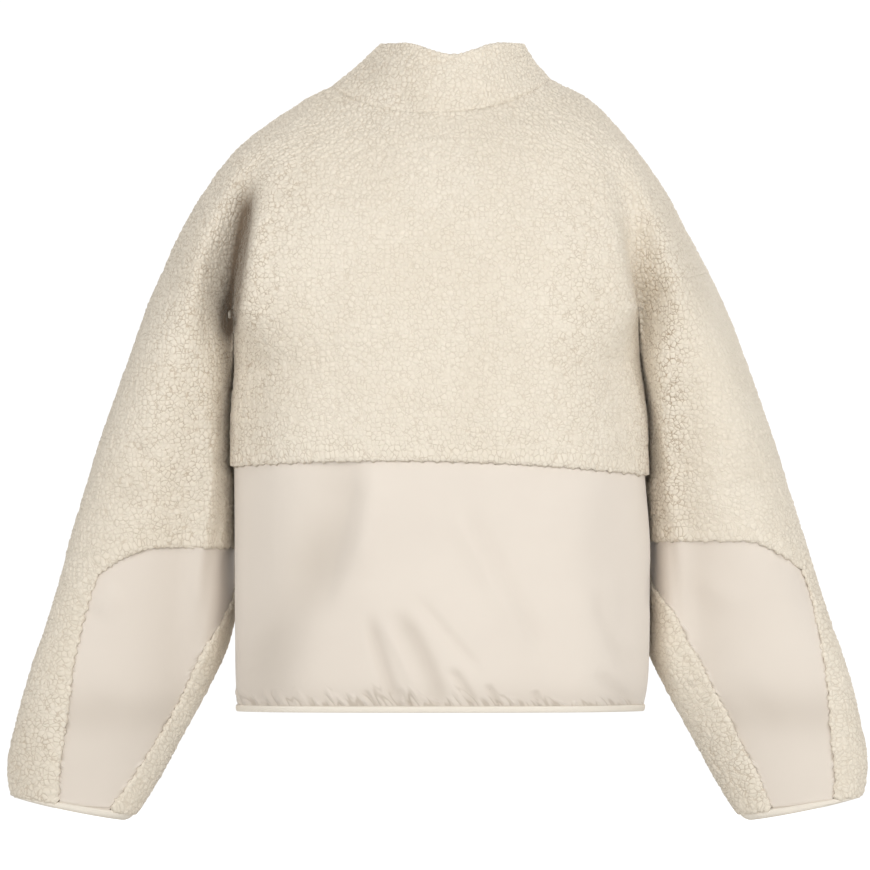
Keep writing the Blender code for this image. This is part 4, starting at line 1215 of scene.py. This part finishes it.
def rounded(width):
    bpy.ops.mesh.bevel(offset=width * MM, segments=4, affect="EDGES")


def combine(thing, other, operation):
    """Unites a piece with another, or cuts the other out of it."""
    applied(thing, "BOOLEAN", operation=operation, object=other, solver="EXACT")
    bpy.data.objects.remove(other)


def softened(thing, width, segments=2):
    """Rounds a piece's edges and smooths its shading between them."""
    applied(thing, "BEVEL", width=width * MM, segments=segments, limit_method="ANGLE",
            angle_limit=np.radians(40))
    bpy.ops.object.shade_smooth_by_angle(angle=np.radians(35))


def settled(thing, place, lean):
    """Sets a piece in its place, leaning back with the collar."""
    thing.matrix_world = Matrix.Translation(Vector(place) * MM) @ Matrix.Rotation(lean, 4, "X")
    select_only(thing)
    bpy.ops.object.transform_apply(location=True, rotation=True, scale=True)


def slider_place():
    """Where the slider sits on the chain below the collar's edge, and how far it leans back."""
    top, low = (collar_line(level, [FRONT])[0] for level in (0.0, 1.0))
    up = (top - low) / np.linalg.norm(top - low)
    lean = np.arctan2(-up[1], up[2])
    outward = np.array([0.0, np.cos(lean), np.sin(lean)])
    seat = top - SLIDER["below_edge"] * up + (SEAM_GAP - CHAIN_INSET) * outward
    seat[0] = np.interp(SLIDER["below_edge"], [0, np.linalg.norm(top - low)], [top[0], low[0]])
    return seat, lean, outward


def slider_and_tab():
    """The slider, narrower at its lower end, with its bridge, and the pull tab on it."""
    seat, lean, outward = slider_place()
    s = SLIDER
    half, tall, top = s["width"] / 2, s["height"] / 2, s["thick"] + s["tunnel"]

    body = block("zip_slider_body", (-half, 0, -tall), (half, s["thick"], tall))
    worked(body, "EDGE", lambda c: abs(c[0, 2] - c[1, 2]) > 1,
           lambda: bpy.ops.mesh.subdivide(number_cuts=2))
    worked(body, "FACE", lambda c: (c[:, 2] < 0.1 - tall).all(),
           lambda: bpy.ops.transform.resize(value=(s["taper"], 1, 1)))
    worked(body, "FACE", lambda c: (c[:, 1] > s["thick"] - 0.01).all(),
           lambda: bpy.ops.mesh.inset(thickness=s["rim"] * MM, depth=0), lambda: sunk(s["sunk"]))
    for side in (-1, 1):
        ends = sorted((side * half * 0.8, side * 2 * half))
        combine(body, block("groove", (ends[0], s["groove"][0], -2 * tall),
                            (ends[1], s["groove"][1], 2 * tall)), "DIFFERENCE")

    width, reach = s["bridge_width"] / 2, s["bridge_reach"]
    bridge = block("bridge", (-width, top, -reach), (width, top + s["bar"], reach))
    worked(bridge, "EDGE", lambda c: abs(c[0, 2] - c[1, 2]) > 1,
           lambda: bpy.ops.mesh.subdivide(number_cuts=4))
    worked(bridge, "FACE",
           lambda c: (c[:, 1] < top + 0.01).all() and abs(c[:, 2].mean()) > 0.7 * reach,
           lambda: sunk(top - 1.2))
    softened(bridge, 0.3)
    combine(body, bridge, "UNION")
    softened(body, 0.22)
    settled(body, seat, lean)

    p = PULL
    bar = p["thick"] / 2
    tab = block("pull_tab_plate", (-p["half"], -bar, -p["length"]), (p["half"], bar, bar))
    for low, width in ((True, p["round_low"]), (False, p["round_top"])):
        worked(tab, "EDGE", lambda c: abs(c[0, 1] - c[1, 1]) > 1 and (c[0, 2] < -bar) == low,
               lambda: rounded(width))
    slot = block("slot", (-p["slot_half"], -3, -p["slot"]), (p["slot_half"], 3, -bar))
    combine(tab, slot, "DIFFERENCE")
    hole = block("hole", (-p["slot_half"], -3, -p["hole_to"]), (p["slot_half"], 3, -p["hole_from"]))
    worked(hole, "EDGE", lambda c: abs(c[0, 1] - c[1, 1]) > 1,
           lambda: rounded(p["round_hole"]))
    combine(tab, hole, "DIFFERENCE")
    softened(tab, 0.3)
    settled(tab, seat + (s["thick"] + s["tunnel"] / 2) * outward, lean)
    return body, tab


def centre_front():
    """Points down the centre front from the collar's edge to the hem, and the length up to each."""
    line = [collar_line(level, [FRONT])[0] for level in np.linspace(0, 3, 10)[:-1]]
    line += [yoke_line(level, [FRONT])[0] for level in np.linspace(0, 5, 30)[:-1]]
    line += [body_line(level, [BODY_FRONT])[0] for level in np.linspace(0, 7, 30)]
    line = np.array(line)
    length = np.concatenate([[0], np.cumsum(np.linalg.norm(np.diff(line, axis=0), axis=1))])
    return line, length


def teeth():
    """Two rows of moulded teeth that mesh, from under the slider to the box at the hem."""
    half, tip = TEETH["half"], TEETH["tip"]
    tooth = block("tooth", (-TEETH["root"], 0, -half), (tip, TEETH["high"], half))
    worked(tooth, "FACE", lambda c: (c[:, 0] > tip - 0.1).all(),
           lambda: bpy.ops.transform.resize(value=(1, 0.8, 1.25)))
    softened(tooth, 0.22, 1)
    mesh = tooth.data
    corners = np.array([v.co for v in mesh.vertices]) / MM
    faces = [list(face.vertices) for face in mesh.polygons]
    bpy.data.objects.remove(tooth)

    line, length = centre_front()
    stations = np.arange(TEETH["start"], length[-1] - TEETH["end"], TEETH["pitch"] / 2)
    at = np.stack([np.interp(stations, length, line[:, k]) for k in range(3)], axis=1)
    run = unit(np.gradient(at, axis=0))
    across = unit(np.cross([0.0, 1.0, 0.0], run)) * -1
    out = unit(np.cross(run, across))
    out *= np.sign(out[:, 1:2])
    vertices, every = [], []
    for k in range(len(stations)):
        side = 1 if k % 2 else -1
        base = at[k] - (TEETH["inset"] + TEETH["high"]) * out[k]
        used = len(vertices) * len(corners)
        vertices.append(base + side * corners[:, :1] * (1, 0, 0) + corners[:, 1:2] * out[k]
                        + corners[:, 2:] * run[k])
        turn = -1 if side * np.cross([1.0, 0, 0], out[k]) @ run[k] < 0 else 1
        every += [[used + c for c in face[::turn]] for face in faces]
    made = bpy.data.meshes.new("zip_teeth")
    made.from_pydata((np.concatenate(vertices) * MM).tolist(), [], every)
    made.shade_smooth()
    thing = placed("zip_teeth", made)
    select_only(thing)
    bpy.ops.object.shade_smooth_by_angle(angle=np.radians(35))
    return thing


# The box at the zip's lower end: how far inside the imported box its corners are, its rim and
# hollow, and the groove between box and pin
BOX = {"low": (0.2, 1.0, 0.1), "high": (0.2, 0.2, 0.1), "rim": 0.7, "sunk": 0.5,
       "groove_half": 0.2, "groove_deep": 1.2}


def box():
    """The box and the pin at the zip's lower end."""
    low, high = (np.array(corner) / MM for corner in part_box("zip_box"))
    thing = block("zip_box_block", low + BOX["low"], high - BOX["high"])
    worked(thing, "FACE", lambda c: (c[:, 1] > high[1] - 0.3).all(),
           lambda: bpy.ops.mesh.inset(thickness=BOX["rim"] * MM, depth=0),
           lambda: sunk(BOX["sunk"]))
    middle, half = (low[0] + high[0]) / 2, BOX["groove_half"]
    groove = block("groove", (middle - half, high[1] - BOX["groove_deep"], low[2] - 2),
                   (middle + half, high[1] + 2, high[2] + 2))
    combine(thing, groove, "DIFFERENCE")
    softened(thing, 0.35)
    return thing


# ---- the jacket

# Which finish each piece has
SLOT_OF = {name: slot for slot, names in (
    ("sherpa", "back front_left front_right collar sleeve_left sleeve_right"),
    ("nylon", "back_lower front_lower_left front_lower_right "
              "forearm_panel_left forearm_panel_right"),
    ("binding", "hem_binding cuff_binding_left cuff_binding_right"),
    ("zip_tape", "zip_tape_left zip_tape_right zip_cord"),
) for name in names.split()}

SHEETS = form()
POINTS, NORMALS, GRIDS = joined(SHEETS)
FORM = POINTS.copy()  # before its folds
# rise moves the points out or in; SHADE is the painted shade that the folds lay on the cloth
rise, SHADE = folded(FORM, FOLDS)
POINTS[:, 1] += rise * np.sign(FORM[:, 1])
for side, sheet in zip((-1, 1), SLEEVES):
    numbers = np.unique(GRIDS[sheet])
    POINTS[numbers, 1] -= pressed(POINTS[numbers], side)
CUTS = {name: Cut(pieces) for name, pieces in regions().items()}

sherpa, nylon = sherpa_material(), nylon_material()
knit = ribbed_material("knit backing", 260, "Z", 2.0, 1.0, (0.66, 0.58, 0.46), (0.76, 0.68, 0.56),
                       0.0003, 1.0, Roughness=0.95, Specular_IOR_Level=0.2)
binding = ribbed_material("elastic binding", 330, "DIAGONAL", 1.0, 2.0, (0.80, 0.735, 0.64),
                          (0.84, 0.78, 0.685), 0.0002, 0.5, Roughness=0.75, Specular_IOR_Level=0.3)
tape = ribbed_material("zip tape", 380, "X", 0.5, 2.0, (0.70, 0.63, 0.53), (0.78, 0.71, 0.61),
                       0.0002, 0.6, Roughness=0.8)
plastic = plastic_material("zip plastic", (0.70, 0.63, 0.53), (0.76, 0.69, 0.59), 0.4)
metal = plastic_material("painted metal", (0.66, 0.60, 0.50), (0.72, 0.66, 0.56), 0.3, 0.4)

clumped, puckered = relief_of("raised pile", pile_height), relief_of("puckers", pucker_height)
made = {}
for name in CLUMP:
    others = [CUTS[other] for other in CLUMP if other != name]
    made[name] = pile_piece(name, CUTS[name], others, clumped, [sherpa, knit])
for name in [name for name in SLOT_OF if SLOT_OF[name] == "nylon"]:
    made[name] = nylon_piece(name, CUTS[name], puckered, [nylon, nylon])
for name in [name for name in SLOT_OF if SLOT_OF[name] == "binding"]:
    across = np.clip(1 - CUTS[name].inside / (0.5 * BINDING_HEIGHT), 0, 1)
    crown = BINDING_CROWN * np.sqrt(1 - across**2)
    made[name] = flat_piece(name, CUTS[name], BINDING, crown, [binding, binding])
for name in ("zip_tape_left", "zip_tape_right"):
    made[name] = flat_piece(name, CUTS[name], TAPE, 0.0, [tape, tape], UNDERLAP["tape"])
made["zip_cord"] = flat_piece("zip_cord", CUTS["zip_cord"], CORD, 0.0, [tape, tape])
slider_body, tab_plate = slider_and_tab()

for name, thing in made.items():
    thing.name = name + "_cloth"
    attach(thing, "jacket")
    if name != "zip_cord":
        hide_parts(name)
for thing, node, body, material, slot in (
        (teeth(), "zip_chain", "jacket", plastic, "zip_plastic"),
        (box(), "zip_box", "jacket", plastic, "zip_plastic"),
        (slider_body, "zip_slider", "jacket", metal, "zip_metal"),
        (tab_plate, "pull_tab", "pull_tab", metal, "zip_metal")):
    thing.data.materials.append(material)
    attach(thing, body)
    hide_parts(node)


# ---- floor, light and camera

# Round lights aimed at the middle of the jacket: place in metres, width and power
LIGHTS = {
    "key": ((1.5, -4.0, 2.3), 1.2, 46),
    "fill": ((-1.9, -4.3, 0.5), 2.4, 22),
    "broad": ((-0.2, -5.4, 1.2), 2.6, 57),
    "right": ((3.2, -1.9, 0.6), 1.6, 20),
    "left": ((-3.2, -1.9, 0.8), 1.6, 16),
    "front": ((1.5, 4.0, 1.5), 2.4, 60),
}
LIGHTS_AIM = (0, 0, -0.33)
SKY = {"light": 0.43, "more_seen": 0.62}  # seen directly it is brighter than it lights
MIDDLE = (-0.0019, -0.02, -0.3297)  # what the camera looks at, in metres
PICTURE_WIDTH = 0.8265  # what it takes in across the middle of the jacket
FLOOR_Z = -0.80


def studio():
    scene = bpy.context.scene
    world = bpy.data.worlds.new("studio")
    scene.world = world
    world.use_nodes = True
    nodes = Nodes(world.node_tree)
    background = world.node_tree.nodes["Background"]
    seen = nodes.add("ShaderNodeLightPath").outputs["Is Camera Ray"]
    strength = nodes.math("MULTIPLY_ADD", seen, SKY["more_seen"], SKY["light"])
    world.node_tree.links.new(strength, background.inputs["Strength"])
    tint = nodes.mix(seen, (1.0, 0.99, 0.98, 1), (1, 1, 1, 1))
    world.node_tree.links.new(tint, background.inputs["Color"])
    for name, (place, size, power) in LIGHTS.items():
        light = bpy.data.lights.new(name, "AREA")
        light.shape, light.size, light.energy = "DISK", size, power
        lamp = placed(name, light)
        lamp.location = place
        aim = Vector(LIGHTS_AIM) - lamp.location
        lamp.rotation_euler = aim.to_track_quat("-Z", "Y").to_euler()

    bpy.ops.mesh.primitive_circle_add(vertices=96, radius=6, fill_type="NGON",
                                      location=(0, 0, FLOOR_Z))
    floor = bpy.context.object
    floor.name = "floor"
    material, nodes, shader = material_of("pale floor")
    here = nodes.here()
    cloud = nodes.noise(here, 3.0, 2.0).outputs[0]
    tone = nodes.mix(cloud, (0.90, 0.90, 0.89, 1), (0.93, 0.93, 0.92, 1))
    finish_of(nodes, shader, tone, Roughness=0.9)
    shader.inputs["Emission Color"].default_value = (1, 1, 1, 1)
    seen = nodes.add("ShaderNodeLightPath").outputs["Is Camera Ray"]
    material.node_tree.links.new(seen, shader.inputs["Emission Strength"])
    floor.data.materials.append(material)

    camera = bpy.data.cameras.new("camera")
    camera.lens, camera.sensor_width = 800, 36
    camera.clip_start, camera.clip_end = 1, 100
    viewer = placed("camera", camera)
    away = PICTURE_WIDTH * camera.lens / camera.sensor_width
    viewer.location = (MIDDLE[0], MIDDLE[1] - away, MIDDLE[2])
    viewer.rotation_euler = (np.pi / 2, 0, 0)
    scene.camera = viewer
    scene.view_settings.view_transform = "Standard"


studio()
